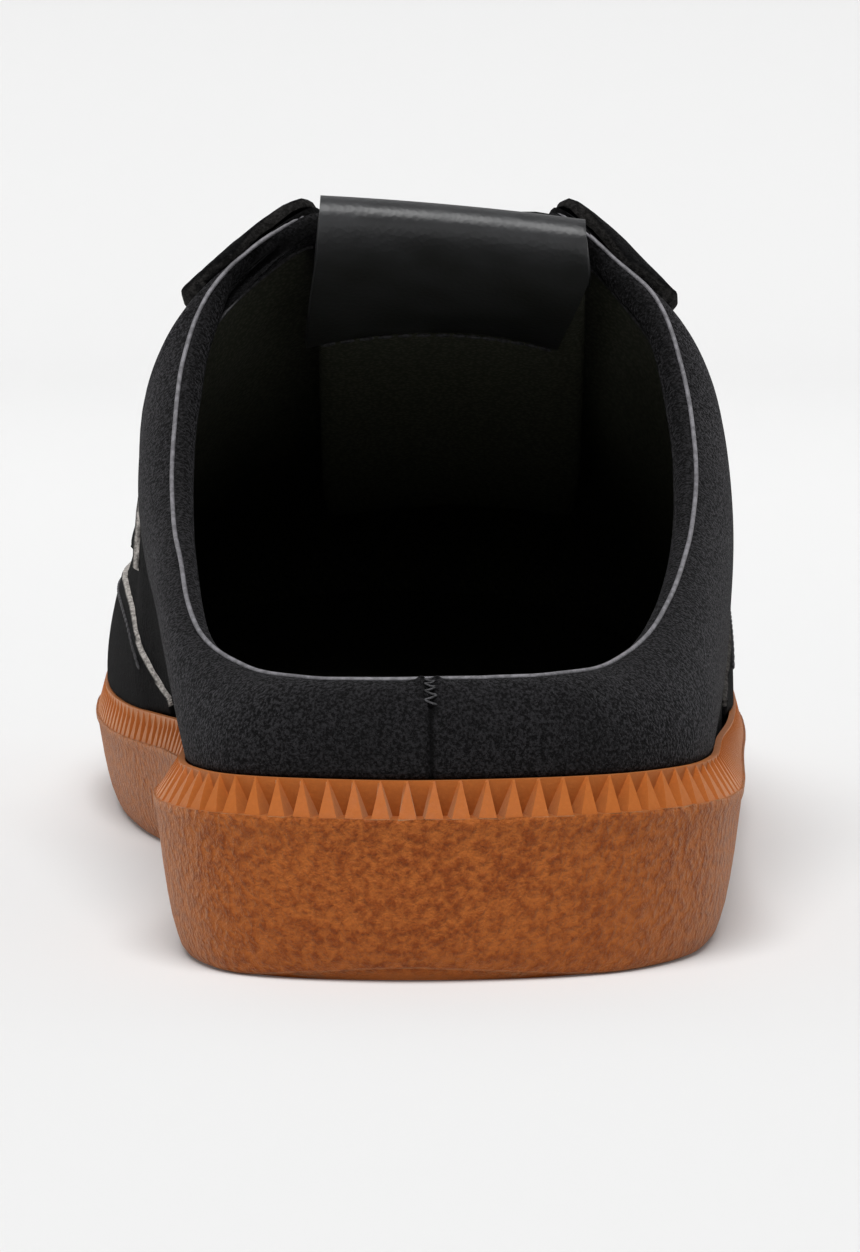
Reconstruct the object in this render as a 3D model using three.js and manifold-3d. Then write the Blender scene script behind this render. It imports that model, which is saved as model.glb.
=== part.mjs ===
// Low backless sneaker for the right foot: cup sole, hollow upper, overlays, insole, tongue, tab and laces.
// Millimetres. X points to the outer side of the foot, Y to the toe, Z up, and the sole stands on Z = 0.
import * as THREE from "three";
import { mergeVertices } from "three/addons/utils/BufferGeometryUtils.js";
import Module from "manifold-3d";

const wasm = await Module();
wasm.setup();

// Driving dimensions
const length = 268; // heel to toe, over the sole
const heelWidth = 70; // sole, across the heel seat
const ballWidth = 95; // sole, across the ball
const heelHeight = 34.3; // ground to the collar edge at the back
const instepHeight = 87.3; // ground to the top corners of the throat
const throatWidth = 32; // between the top corners of the throat
const wall = 2; // upper
const gap = 0.3; // between neighbouring pieces
const soleHeight = 23.4; // ground to the sole's top edge at the back
const cupDepth = 6; // sole's top edge down to the floor of the cup
const lipWidth = 0.8; // top edge of the sole beside the upper
const heelBevel = 1.6; // rise of the walking face at the back
const archLift = 2.2;
const toeSpring = 8.5;
const sideTaper = 2.9; // how far the side wall draws in towards the ground
const serrationHeight = 4.1;
const heelSerration = 3; // depth of the serrated bevel at the heel
const ballSerration = 1.4; // and at the ball
const ledgeInset = 0.35; // tooth tips behind the sole's widest line
const toothPitch = 3.1;
const insoleThickness = 5.2;
const overlayThickness = 1.1;
const bandGap = 0.4; // heel band over the upper, which it crosses at a slant
const tongueWidth = 36;
const tongueThickness = 5;
const tongueShift = 1.1; // middle of the tongue, to the outer side of the heel's middle
const tongueTilt = 5.2; // degrees that the tongue's top edge drops to the outer side
const tabThickness = 1.3;
const laceWidth = 6;
const laceThickness = 1.1;
const lacePairs = 5;

// How finely the forms are stepped
const columnsPerRib = 3;
const soleColumns = 72;
const outlineSteps = 720;

// Rows of numbers become objects with the named columns.
const table = (columns, rows) =>
  rows.map((row) => Object.fromEntries(columns.map((name, i) => [name, row[i]])));

// Sole outline from above: share of the length, then the inner and outer side as shares of the half width.
const heelOutline = table(["at", "inner", "outer"], [
  [0, 0.129, -0.129],
  [0.0075, 0.457, 0.229],
  [0.019, 0.671, 0.471],
  [0.037, 0.829, 0.686],
  [0.075, 0.957, 0.9],
  [0.12, 1, 1],
  [0.187, 0.994, 1.051],
  [0.261, 0.977, 1.086],
  [0.336, 1, 1.12],
]);
const ballOutline = table(["at", "inner", "outer"], [
  [0.418, 0.825, 0.855],
  [0.489, 0.947, 0.884],
  [0.56, 1.029, 0.905],
  [0.634, 1.074, 0.909],
  [0.709, 1.084, 0.874],
  [0.776, 1.04, 0.81],
  [0.84, 0.955, 0.72],
  [0.896, 0.86, 0.6],
  [0.94, 0.74, 0.46],
  [0.978, 0.53, 0.22],
  [1, 0.16, -0.16],
]);

// Height of the sole's top edge: share of the length, share of the sole's height.
const topEdge = table(["at", "up"], [
  [0, 1],
  [0.18, 0.94],
  [0.4, 0.812],
  [0.49, 0.769],
  [0.6, 0.756],
  [0.68, 0.756],
  [0.82, 0.795],
  [0.93, 0.919],
  [1, 1],
]);

// Side wall of the sole, from the ledge down: share of the wall's height, share of the side taper.
const sideWall = table(["up", "inset"], [
  [0.98, 0],
  [0.91, 0.14],
  [0.55, 0.38],
  [0.28, 0.68],
  [0.08, 1.05],
  [0, 1.55],
]);

// Walking face: shares of the length where the heel bevel ends, the arch begins and ends, the toe lifts off.
const bevelEnd = 0.03;
const archStart = 0.28;
const archEnd = 0.466;
const toeStart = 0.746;

// Where the serrated bevel changes from its heel depth to its ball depth, as shares of the length.
const bevelChange = [0.2, 0.42];

// Ribs of the upper from the back to the toe. rim: where the rib leaves the sole, as a share of the length.
// Its edge, for each side: at along the length, out in half widths, up from heel to instep height.
// rise and flare place the rib's first handle, reach and drop its second, all as shares of the rib's height.
const ribColumns = [
  "rim", "outerAt", "outerOut", "outerUp", "innerAt", "innerOut", "innerUp",
  "rise", "outerFlare", "innerFlare", "reach", "drop",
];
const collarRibs = table(ribColumns, [
  [0, 0.03, -0.086, 0, 0.03, 0.086, 0, 0.5, 0.1, 0.1, 0.4, 0],
  [0.0075, 0.036, 0.14, 0, 0.034, 0.29, -0.003, 0.5, 0.1, 0.1, 0.4, 0],
  [0.03, 0.051, 0.36, 0, 0.047, 0.48, -0.005, 0.5, 0.1, 0.1, 0.4, 0],
  [0.075, 0.086, 0.55, 0.008, 0.084, 0.67, 0, 0.5, 0.1, 0.1, 0.4, 0],
  [0.142, 0.146, 0.715, 0.063, 0.144, 0.846, 0.05, 0.5, 0.12, 0.15, 0.36, 0.02],
  [0.216, 0.224, 0.837, 0.169, 0.224, 0.937, 0.175, 0.45, 0.08, 0.18, 0.25, 0.08],
  [0.291, 0.299, 0.9, 0.307, 0.299, 0.983, 0.307, 0.42, 0.04, 0.18, 0.21, 0.14],
  [0.358, 0.358, 0.897, 0.497, 0.358, 0.983, 0.516, 0.42, 0.02, 0.16, 0.19, 0.18],
  [0.41, 0.399, 0.82, 0.715, 0.399, 0.93, 0.706, 0.4, 0.01, 0.1, 0.2, 0.17],
  [0.455, 0.422, 0.67, 0.85, 0.422, 0.795, 0.86, 0.38, 0, 0.06, 0.26, 0.16],
]);
const throatRibs = table(ribColumns, [
  [0.493, 0.437, 0.96, 1, 0.437, 1.12, 1, 0.36, 0, 0.03, 0.3, 0.14],
  [0.541, 0.478, 0.84, 0.9, 0.478, 0.95, 0.9, 0.36, 0, 0.02, 0.34, 0.15],
  [0.604, 0.53, 0.78, 0.78, 0.53, 0.9, 0.79, 0.35, 0, 0.02, 0.36, 0.15],
  [0.679, 0.586, 0.73, 0.65, 0.586, 0.86, 0.66, 0.35, 0.01, 0.02, 0.4, 0.15],
  [0.765, 0.642, 0.65, 0.527, 0.642, 0.82, 0.53, 0.42, 0.02, 0.02, 0.52, 0.15],
  [0.851, 0.683, 0.48, 0.43, 0.683, 0.7, 0.43, 0.5, 0.03, 0.03, 0.85, 0.17],
  [0.928, 0.7, 0.22, 0.385, 0.7, 0.44, 0.385, 0.58, 0.05, 0.05, 1.3, 0.2],
  [0.976, 0.704, 0.04, 0.376, 0.704, 0.28, 0.376, 0.6, 0.06, 0.06, 1.45, 0.21],
  [1, 0.705, -0.12, 0.374, 0.705, 0.12, 0.374, 0.62, 0.06, 0.06, 1.55, 0.22],
]);

// Steps along each rib: -1 is the floor of the cup, 0 the sole's top edge, 1 the collar or throat edge.
const ribSteps = [-1, 0, 0.12, 0.28, 0.45, 0.62, 0.78, 0.9, 1];

// Overlays on the upper: rib number counted from the back, then the lower and upper step along the ribs.
const bandEnd = 8.4;
const eyestayStart = 8.9;
const foxingStart = 8.2;
const heelBandEdge = table(["rib", "low", "high"], [
  [0, 0.05, 0.97],
  [5, 0.05, 0.97],
  [6, 0.12, 0.97],
  [7, 0.3, 0.97],
  [bandEnd, 0.62, 0.97],
]);
const eyestayEdge = table(["rib", "low", "high"], [
  [eyestayStart, 0.8, 0.965],
  [9.4, 0.74, 0.965],
  [10, 0.66, 0.975],
  [12, 0.58, 0.975],
  [14, 0.62, 0.975],
  [16, 0.74, 0.975],
  [18, 0.77, 0.975],
]);
const foxingEdge = table(["rib", "low", "high"], [
  [foxingStart, 0.015, 0.06],
  [9.5, 0.015, 0.14],
  [11, 0.015, 0.22],
  [13, 0.015, 0.29],
  [15, 0.015, 0.33],
  [18, 0.015, 0.36],
]);
// Where an overlay's rows lie between its two edges, so that they follow the upper's own steps
const heelBandRows = [0, 0.25, 0.45, 0.64, 0.84, 1];
const eyestayRows = [0, 0.45, 0.8, 1];
const foxingRows = [0, 0.3, 0.77, 1];

// Tongue from its root to its top: at along the length, up from heel to instep height, width, bow across.
const tonguePath = table(["at", "up", "width", "bow"], [
  [0.745, 0.22, 1.04, 0.14],
  [0.705, 0.29, 1.06, 0.13],
  [0.65, 0.4, 1.06, 0.12],
  [0.597, 0.525, 1.05, 0.11],
  [0.541, 0.65, 1.04, 0.1],
  [0.482, 0.77, 1.02, 0.09],
  [0.441, 0.862, 0.99, 0.08],
  [0.419, 0.93, 0.96, 0.06],
  [0.411, 0.99, 0.93, 0.04],
]);
const tongueStations = 12;
const tabStations = 5;
const tongueSpan = 6; // steps across the tongue
const tabStart = 0.66; // share of the tongue where the tab begins

// Smooth value through a list, at a place counted in entries; a closed list grows by one turn each round.
function smoothThrough(values, place, closed, turn = 0) {
  const n = values.length;
  const start = Math.floor(closed ? place : Math.min(place, n - 1 - 1e-9));
  const f = place - start;
  const pick = (step) => {
    const k = start + step;
    if (!closed) return values[Math.min(Math.max(k, 0), n - 1)];
    return values[((k % n) + n) % n] + turn * Math.floor(k / n);
  };
  const [a, b, c, d] = [pick(-1), pick(0), pick(1), pick(2)];
  return b + 0.5 * f * (c - a + f * (2 * a - 5 * b + 4 * c - d + f * (3 * (b - c) + d - a)));
}

// Smooth value of one column of a table at a key, such as a share of the length.
function readTable(rows, keyName, key, name) {
  const last = rows.length - 1;
  const clamped = Math.min(Math.max(key, rows[0][keyName]), rows[last][keyName]);
  let k = 0;
  while (k < last - 1 && rows[k + 1][keyName] < clamped) k += 1;
  const f = (clamped - rows[k][keyName]) / (rows[k + 1][keyName] - rows[k][keyName]);
  return smoothThrough(rows.map((row) => row[name]), k + f, false);
}

const smoothStep = (from, to, x) => THREE.MathUtils.smoothstep(x, from, to);

// Outline of the sole: it starts at the back and runs along the outer side to the toe and back inside.
const outlineRows = [
  ...heelOutline.map((row) => ({ ...row, half: heelWidth / 2 })),
  ...ballOutline.map((row) => ({ ...row, half: ballWidth / 2 })),
];
const outerPlaces = outlineRows.map(
  (row) => new THREE.Vector3(row.outer * row.half, row.at * length, 0),
);
const innerPlaces = outlineRows
  .slice(1, -1)
  .reverse()
  .map((row) => new THREE.Vector3(-row.inner * row.half, row.at * length, 0));
const outlinePlaces = [...outerPlaces, ...innerPlaces];
const toeShare = (outerPlaces.length - 1) / outlinePlaces.length;
const measured = new THREE.Box3().setFromPoints(
  new THREE.CatmullRomCurve3(outlinePlaces, true).getPoints(outlineSteps),
);
const centre = measured.getCenter(new THREE.Vector3());
const outline = new THREE.CatmullRomCurve3(
  outlinePlaces.map((p) => p.clone().sub(centre)),
  true,
);
outline.arcLengthDivisions = outlineSteps;

const shareAlong = (y) => (y + centre.y) / length;
const yAt = (share) => share * length - centre.y;

// A place on the outline, drawn in by inset, with the outward direction there.
function outlineAt(s, inset) {
  const place = outline.getPoint(s - Math.floor(s));
  const along = outline.getTangent(s - Math.floor(s));
  const out = new THREE.Vector3(along.y, -along.x, 0).normalize();
  return { place: place.addScaledVector(out, -inset), out };
}

// Where the outline reaches a share of the length, on the outer or the inner side.
function outlineShare(share, outerSide) {
  let low = 0;
  let high = toeShare;
  const place = (s) => (outerSide ? s : 1 - (s * (1 - toeShare)) / toeShare);
  for (let i = 0; i < 40; i += 1) {
    const middle = (low + high) / 2;
    if (shareAlong(outline.getPoint(place(middle) % 1).y) < share) low = middle;
    else high = middle;
  }
  return place(low);
}

// Heights of the sole
const topZ = (share) => soleHeight * readTable(topEdge, "at", share, "up");
const floorZ = (share) => topZ(share) - cupDepth;
const serrationDepth = (share) =>
  THREE.MathUtils.lerp(heelSerration, ballSerration, smoothStep(...bevelChange, share));
const rimInset = (share) => serrationDepth(share) + lipWidth + gap;
function bottomZ(share) {
  if (share < bevelEnd) return heelBevel * (1 - share / bevelEnd) ** 2;
  if (share > toeStart) return toeSpring * ((share - toeStart) / (1 - toeStart)) ** 2;
  if (share < archStart || share > archEnd) return 0;
  return archLift * Math.sin((Math.PI * (share - archStart)) / (archEnd - archStart)) ** 2;
}

// A surface being built: places and the triangles between them.
const newSkin = () => ({ places: [], faces: [] });

function addRing(skin, places) {
  const first = skin.places.length;
  skin.places.push(...places);
  return places.map((_, i) => first + i);
}

function addQuad(skin, a, b, c, d) {
  skin.faces.push([a, b, c], [a, c, d]);
}

function joinRings(skin, lower, upper) {
  const n = lower.length;
  for (let i = 0; i < n; i += 1) {
    const next = (i + 1) % n;
    addQuad(skin, lower[i], lower[next], upper[next], upper[i]);
  }
}

// Joins two closed rings with different numbers of places, each place at its share round the outline.
function bridgeRings(skin, lower, lowerShares, upper, upperShares) {
  const shareOf = (shares, k) => shares[k % shares.length] + Math.floor(k / shares.length);
  let i = 0;
  let j = 0;
  while (i < lower.length || j < upper.length) {
    const a = lower[i % lower.length];
    const b = upper[j % upper.length];
    const lowerFirst = shareOf(lowerShares, i + 1) <= shareOf(upperShares, j + 1);
    if (j >= upper.length || (lowerFirst && i < lower.length)) {
      skin.faces.push([a, lower[(i + 1) % lower.length], b]);
      i += 1;
    } else {
      skin.faces.push([a, upper[(j + 1) % upper.length], b]);
      j += 1;
    }
  }
}

// Closes a ring with strips from side to side, facing up or down.
function capRing(skin, ring, facingUp) {
  const n = ring.length;
  for (let i = 0; i < n / 2; i += 1) {
    const corners = [ring[(n - i) % n], ring[i], ring[i + 1], ring[n - i - 1]];
    if (!facingUp) corners.reverse();
    const [a, b, c, d] = corners;
    if (a !== b && b !== c && a !== c) skin.faces.push([a, b, c]);
    if (a !== c && c !== d && a !== d) skin.faces.push([a, c, d]);
  }
}

function geometryOf(skin) {
  const geometry = new THREE.BufferGeometry().setFromPoints(skin.places);
  geometry.setIndex(skin.faces.flat());
  return geometry;
}

// three.js geometry to a solid that can be cut and joined, and back
function solidOf(geometry) {
  const bare = geometry.clone().deleteAttribute("normal").deleteAttribute("uv");
  const merged = mergeVertices(bare, 1e-4);
  return new wasm.Manifold(
    new wasm.Mesh({
      numProp: 3,
      vertProperties: new Float32Array(merged.attributes.position.array),
      triVerts: new Uint32Array(merged.index.array),
    }),
  );
}

function geometryFromSolid(solid) {
  const made = solid.getMesh();
  const geometry = new THREE.BufferGeometry();
  geometry.setAttribute("position", new THREE.BufferAttribute(made.vertProperties, 3));
  geometry.setIndex(new THREE.BufferAttribute(made.triVerts, 1));
  return geometry;
}

// Ribs in their order round the shoe: outer side from the back to the toe, then the inner side back again.
const halfRibs = [
  ...collarRibs.map((row) => ({ ...row, half: heelWidth / 2, collar: true })),
  ...throatRibs.map((row) => ({ ...row, half: throatWidth / 2, collar: false })),
];
const ribRange = instepHeight - heelHeight;
function makeRib(row, outerSide) {
  const [at, out, up, flare] = outerSide
    ? [row.outerAt, row.outerOut, row.outerUp, row.outerFlare]
    : [row.innerAt, -row.innerOut, row.innerUp, row.innerFlare];
  const s = outlineShare(row.rim, outerSide);
  const rim = outlineAt(s, rimInset(row.rim));
  rim.place.z = topZ(shareAlong(rim.place.y));
  const edge = new THREE.Vector3(out * row.half - centre.x, yAt(at), heelHeight + up * ribRange);
  const height = edge.z - rim.place.z;
  const away = rim.place.clone().sub(edge).setZ(0).normalize();
  const lean = (row.collar ? rim.out.clone() : away).multiplyScalar(row.reach * height);
  lean.z = -row.drop * height;
  return { s, edge, lean, rise: row.rise, flare };
}
const lastRib = halfRibs.length - 1;
const ribs = [
  ...halfRibs.map((row) => makeRib(row, true)),
  ...halfRibs
    .slice(1, -1)
    .reverse()
    .map((row) => makeRib(row, false)),
];
const ribValues = (pick) => ribs.map(pick);
const ribData = {
  s: ribValues((rib) => rib.s),
  rise: ribValues((rib) => rib.rise),
  flare: ribValues((rib) => rib.flare),
  edge: ["x", "y", "z"].map((axis) => ribValues((rib) => rib.edge[axis])),
  lean: ["x", "y", "z"].map((axis) => ribValues((rib) => rib.lean[axis])),
};

const rimShareAt = (rib) => smoothThrough(ribData.s, rib, true, 1);
const vectorAt = (lists, rib) =>
  new THREE.Vector3(...lists.map((values) => smoothThrough(values, rib, true)));

// The last's surface: a place at a rib number and a step along that rib.
function shellPlace(rib, step) {
  const rim = outlineAt(rimShareAt(rib), 0);
  const share = shareAlong(rim.place.y);
  const foot = rim.place.clone().addScaledVector(rim.out, -rimInset(share));
  foot.z = topZ(shareAlong(foot.y));
  if (step < 0) {
    foot.z += step * (cupDepth - gap);
    return foot;
  }
  const edge = vectorAt(ribData.edge, rib);
  const height = edge.z - foot.z;
  const first = foot.clone().addScaledVector(rim.out, smoothThrough(ribData.flare, rib, true) * height);
  first.z += smoothThrough(ribData.rise, rib, true) * height;
  const second = edge.clone().add(vectorAt(ribData.lean, rib));
  const rest = 1 - step;
  return foot
    .multiplyScalar(rest ** 3)
    .addScaledVector(first, 3 * rest * rest * step)
    .addScaledVector(second, 3 * rest * step * step)
    .addScaledVector(edge, step ** 3);
}

// The same place moved out along the surface's normal.
const probe = 0.02;
function shellOffset(rib, step, distance) {
  const around = shellPlace(rib + probe, step).sub(shellPlace(rib - probe, step));
  const low = Math.max(step - probe, step < 0 ? -1 : 0);
  const up = shellPlace(rib, Math.min(step + probe, 1)).sub(shellPlace(rib, low));
  const normal = around.cross(step <= 0 ? new THREE.Vector3(0, 0, 1) : up).normalize();
  return shellPlace(rib, step).addScaledVector(normal, distance);
}

const ribCount = ribs.length;
const columns = Array.from({ length: ribCount * columnsPerRib }, (_, i) => i / columnsPerRib);
const columnShares = columns.map(rimShareAt);

function makeUpper() {
  const skin = newSkin();
  const rings = (distance) =>
    ribSteps.map((step) => addRing(skin, columns.map((rib) => shellOffset(rib, step, distance))));
  const outside = rings(0);
  const inside = rings(-wall);
  for (let k = 0; k < ribSteps.length - 1; k += 1) {
    joinRings(skin, outside[k], outside[k + 1]);
    joinRings(skin, inside[k + 1], inside[k]);
  }
  joinRings(skin, inside[0], outside[0]);
  joinRings(skin, outside[ribSteps.length - 1], inside[ribSteps.length - 1]);
  return skin;
}

function makeSole() {
  const skin = newSkin();
  const teeth = Math.round(outline.getLength() / toothPitch);
  const evenShares = (count) =>
    Array.from({ length: count }, (_, i) => outline.getUtoTmapping(i / count));
  const fineShares = evenShares(2 * teeth);
  const coarseShares = evenShares(soleColumns);
  const ringPlaces = (shares, insetOf, heightOf) =>
    shares.map((s, i) => {
      const share = shareAlong(outline.getPoint(s % 1).y);
      const { place } = outlineAt(s, insetOf(share, i));
      place.z = heightOf(shareAlong(place.y));
      return place;
    });
  const ledgeZ = (share) => topZ(share) - serrationHeight;
  const lower = sideWall.map((row) =>
    addRing(
      skin,
      ringPlaces(
        coarseShares,
        () => row.inset * sideTaper,
        (share) => THREE.MathUtils.lerp(bottomZ(share), ledgeZ(share), row.up),
      ),
    ),
  );
  const toothInset = (share, i) => (i % 2 ? serrationDepth(share) : ledgeInset);
  const toothFeet = addRing(skin, ringPlaces(fineShares, toothInset, ledgeZ));
  const topOuter = addRing(skin, ringPlaces(fineShares, serrationDepth, topZ));
  const cupInset = (share) => serrationDepth(share) + lipWidth;
  const topInner = addRing(skin, ringPlaces(columnShares, cupInset, topZ));
  const cupFloor = addRing(skin, ringPlaces(columnShares, cupInset, floorZ));
  capRing(skin, lower[lower.length - 1], false);
  for (let k = 0; k < lower.length - 1; k += 1) joinRings(skin, lower[k + 1], lower[k]);
  bridgeRings(skin, lower[0], coarseShares, toothFeet, fineShares);
  for (let i = 0; i < toothFeet.length; i += 2) {
    const next = (i + 1) % toothFeet.length;
    const before = (i + toothFeet.length - 1) % toothFeet.length;
    skin.faces.push([toothFeet[i], toothFeet[next], topOuter[i]]);
    skin.faces.push([toothFeet[next], topOuter[next], topOuter[i]]);
    skin.faces.push([toothFeet[before], toothFeet[i], topOuter[i]]);
    skin.faces.push([toothFeet[before], topOuter[i], topOuter[before]]);
  }
  bridgeRings(skin, topOuter, fineShares, topInner, columnShares);
  joinRings(skin, topInner, cupFloor);
  capRing(skin, cupFloor, true);
  return skin;
}

function makeInsole() {
  const skin = newSkin();
  const ring = (lift) =>
    columns.map((rib) => {
      const place = shellOffset(rib, -1, -wall - gap);
      place.z = floorZ(shareAlong(place.y)) + gap + lift;
      return place;
    });
  const below = addRing(skin, ring(0));
  const above = addRing(skin, ring(insoleThickness));
  capRing(skin, below, false);
  joinRings(skin, below, above);
  capRing(skin, above, true);
  return skin;
}

// An overlay between two rib numbers: a wall of its own outside the upper's surface.
function makeOverlay(edges, rows, firstRib, clearance) {
  const skin = newSkin();
  const spread = firstRib < 0 ? -2 * firstRib : ribCount - 2 * firstRib;
  const count = Math.round(spread * columnsPerRib);
  const stripe = (i) => {
    const rib = firstRib + (spread * i) / count;
    const fromBack = Math.abs(((rib + lastRib) % ribCount) - lastRib);
    const edgeOf = (name) => readTable(edges, "rib", fromBack, name);
    const step = (row) => THREE.MathUtils.lerp(edgeOf("low"), edgeOf("high"), row);
    const side = (distance) => rows.map((row) => shellOffset(rib, step(row), distance));
    return addRing(skin, [...side(clearance + overlayThickness), ...side(clearance).reverse()]);
  };
  const stripes = Array.from({ length: count + 1 }, (_, i) => stripe(i));
  const across = stripes[0].length;
  for (let i = 0; i < count; i += 1) {
    for (let k = 0; k < across; k += 1) {
      const next = (k + 1) % across;
      addQuad(skin, stripes[i][k], stripes[i + 1][k], stripes[i + 1][next], stripes[i][next]);
    }
  }
  for (let k = 0; k < rows.length - 1; k += 1) {
    const first = stripes[0];
    const last = stripes[count];
    addQuad(skin, first[k], first[k + 1], first[across - k - 2], first[across - k - 1]);
    addQuad(skin, last[across - k - 1], last[across - k - 2], last[k + 1], last[k]);
  }
  return skin;
}

// The tongue, or the same form grown on all sides, from one share of its length to its top.
function makeTongue(grow, start, stations) {
  const skin = newSkin();
  const lastRow = tonguePath.length - 1;
  const read = (name, share) =>
    smoothThrough(tonguePath.map((row) => row[name]), share * lastRow, false);
  const middle = (share) =>
    new THREE.Vector3(
      tongueShift - centre.x,
      yAt(read("at", share)),
      heelHeight + read("up", share) * ribRange,
    );
  const section = (share, extra) => {
    const along = middle(Math.min(share + probe, 1))
      .sub(middle(Math.max(share - probe, 0)))
      .normalize();
    const out = new THREE.Vector3(0, along.z, -along.y);
    const half = (tongueWidth / 2) * read("width", share) + grow;
    const roll = Math.tan(THREE.MathUtils.degToRad(tongueTilt)) * smoothStep(0.5, 1, share);
    const at = (side, face) => {
      const bow = read("bow", share) * half * side * side;
      const thin = tongueThickness * (1 - 0.55 * side ** 4);
      const depth = face > 0 ? grow : -thin - grow;
      return middle(share)
        .addScaledVector(along, extra)
        .addScaledVector(out, depth - bow)
        .add(new THREE.Vector3(side * half, 0, -roll * side * half));
    };
    const sides = Array.from({ length: tongueSpan + 1 }, (_, k) => (2 * k) / tongueSpan - 1);
    return [...sides.map((side) => at(side, 1)), ...sides.reverse().map((side) => at(side, -1))];
  };
  const rings = [];
  for (let i = 0; i <= stations; i += 1) {
    const share = THREE.MathUtils.lerp(start, 1, i / stations);
    const extra = i === stations ? grow : 0;
    rings.push(addRing(skin, section(share, extra)));
  }
  for (let i = 0; i < stations; i += 1) joinRings(skin, rings[i + 1], rings[i]);
  const across = rings[0].length;
  for (let k = 0; k < tongueSpan; k += 1) {
    const first = rings[0];
    const last = rings[stations];
    addQuad(skin, first[k], first[k + 1], first[across - k - 2], first[across - k - 1]);
    addQuad(skin, last[across - k - 1], last[across - k - 2], last[k + 1], last[k]);
  }
  return skin;
}

function makeTab() {
  const outside = solidOf(geometryOf(makeTongue(gap + tabThickness, tabStart, tabStations)));
  const inside = solidOf(geometryOf(makeTongue(gap, 0, tongueStations)));
  return geometryFromSolid(outside.subtract(inside));
}

// Eyelet pairs: rib numbers on the outer side, and the step along the rib
const lowestEyelet = 14.6;
const topEyelet = 11.1;
const eyeletRibs = Array.from({ length: lacePairs }, (_, k) =>
  THREE.MathUtils.lerp(lowestEyelet, topEyelet, k / (lacePairs - 1)),
);
const eyeletStep = 0.87;
const laceLift = 3 * gap + overlayThickness + laceThickness / 2;

const laceSteps = 4;
const laceCrown = 0.8; // how far a crossing rises at its middle
const laceStagger = 0.02; // how far the runs at one eyelet end apart, as a step along the rib
const laceLean = new THREE.Vector3(0, 1, -0.47); // down the slope of the throat, towards the toe

// A flat lace over the throat from one eyelet to another on the far side
function makeLaceRun(fromRib, toRib, over) {
  const skin = newSkin();
  const lift = laceLift + over * laceThickness;
  const start = shellOffset(fromRib, eyeletStep - laceStagger * over, lift);
  const startEdge = shellOffset(fromRib, 1, lift + gap);
  const endEdge = shellOffset(toRib, 1, lift + gap);
  const end = shellOffset(toRib, eyeletStep - laceStagger * over, lift);
  const crown = startEdge.clone().add(endEdge).multiplyScalar(0.5);
  crown.z += laceCrown;
  const path = new THREE.CatmullRomCurve3([start, startEdge, crown, endEdge, end], false);
  const rings = [];
  for (let i = 0; i <= laceSteps; i += 1) {
    const along = path.getTangent(i / laceSteps);
    const side = laceLean.clone().cross(along).cross(along).normalize();
    const up = along.clone().cross(side).normalize();
    const corner = (a, b) =>
      path
        .getPoint(i / laceSteps)
        .addScaledVector(side, (a * laceWidth) / 2)
        .addScaledVector(up, (b * laceThickness) / 2);
    rings.push(addRing(skin, [corner(-1, -1), corner(1, -1), corner(1, 1), corner(-1, 1)]));
  }
  for (let i = 0; i < laceSteps; i += 1) joinRings(skin, rings[i], rings[i + 1]);
  addQuad(skin, rings[0][3], rings[0][2], rings[0][1], rings[0][0]);
  addQuad(skin, ...rings[laceSteps]);
  return solidOf(geometryOf(skin));
}

function makeLaces() {
  const inner = (rib) => ribCount - rib;
  const first = eyeletRibs[0];
  const runs = [makeLaceRun(first, inner(first), 0)];
  for (let k = 0; k < lacePairs - 1; k += 1) {
    runs.push(makeLaceRun(eyeletRibs[k], inner(eyeletRibs[k + 1]), 0.3));
    runs.push(makeLaceRun(eyeletRibs[k + 1], inner(eyeletRibs[k]), 0.65));
  }
  return geometryFromSolid(runs.reduce((all, run) => all.add(run)));
}

const materials = {
  gum: { color: 0xb07048, roughness: 0.55 },
  suede: { color: 0x151514, roughness: 0.95 },
  microsuede: { color: 0x343236, roughness: 0.9 },
  leather: { color: 0x19191b, roughness: 0.4 },
  lining: { color: 0x101010, roughness: 0.9 },
  cord: { color: 0x121212, roughness: 0.85 },
};

const shoe = new THREE.Group();
function addPiece(name, geometry, finish) {
  geometry.computeVertexNormals();
  const material = new THREE.MeshStandardMaterial({ ...finish, metalness: 0 });
  const mesh = new THREE.Mesh(geometry, material);
  mesh.name = name;
  shoe.add(mesh);
}

addPiece("sole", geometryOf(makeSole()), materials.gum);
addPiece("upper", geometryOf(makeUpper()), materials.suede);
addPiece("insole", geometryOf(makeInsole()), materials.lining);
addPiece("tongue", geometryOf(makeTongue(0, 0, tongueStations)), materials.suede);
addPiece("tongue_tab", makeTab(), materials.leather);
const heelBand = makeOverlay(heelBandEdge, heelBandRows, -bandEnd, bandGap);
const eyestay = makeOverlay(eyestayEdge, eyestayRows, eyestayStart, gap);
const toeFoxing = makeOverlay(foxingEdge, foxingRows, foxingStart, gap);
addPiece("heel_band", geometryOf(heelBand), materials.microsuede);
addPiece("eyestay", geometryOf(eyestay), materials.suede);
addPiece("toe_foxing", geometryOf(toeFoxing), materials.suede);
addPiece("laces", makeLaces(), materials.cord);

export default shoe;
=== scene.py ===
import math
from functools import lru_cache
import bpy
import bmesh
from mathutils import Matrix, Vector, noise


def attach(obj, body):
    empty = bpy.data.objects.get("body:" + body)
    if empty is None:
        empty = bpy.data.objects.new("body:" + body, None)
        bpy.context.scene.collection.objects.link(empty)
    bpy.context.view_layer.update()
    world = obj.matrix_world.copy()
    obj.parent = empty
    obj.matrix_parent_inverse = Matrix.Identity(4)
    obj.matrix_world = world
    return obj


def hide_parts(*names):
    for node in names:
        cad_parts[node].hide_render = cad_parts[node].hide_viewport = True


bl_info = {
    "name": "Backless sneaker",
    "version": (1, 0, 0),
    "blender": (4, 5, 0),
    "location": "View3D > Sidebar > Sneaker",
    "description": "Builds a low backless sneaker for the right foot, with its stage",
    "category": "Object",
}

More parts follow.
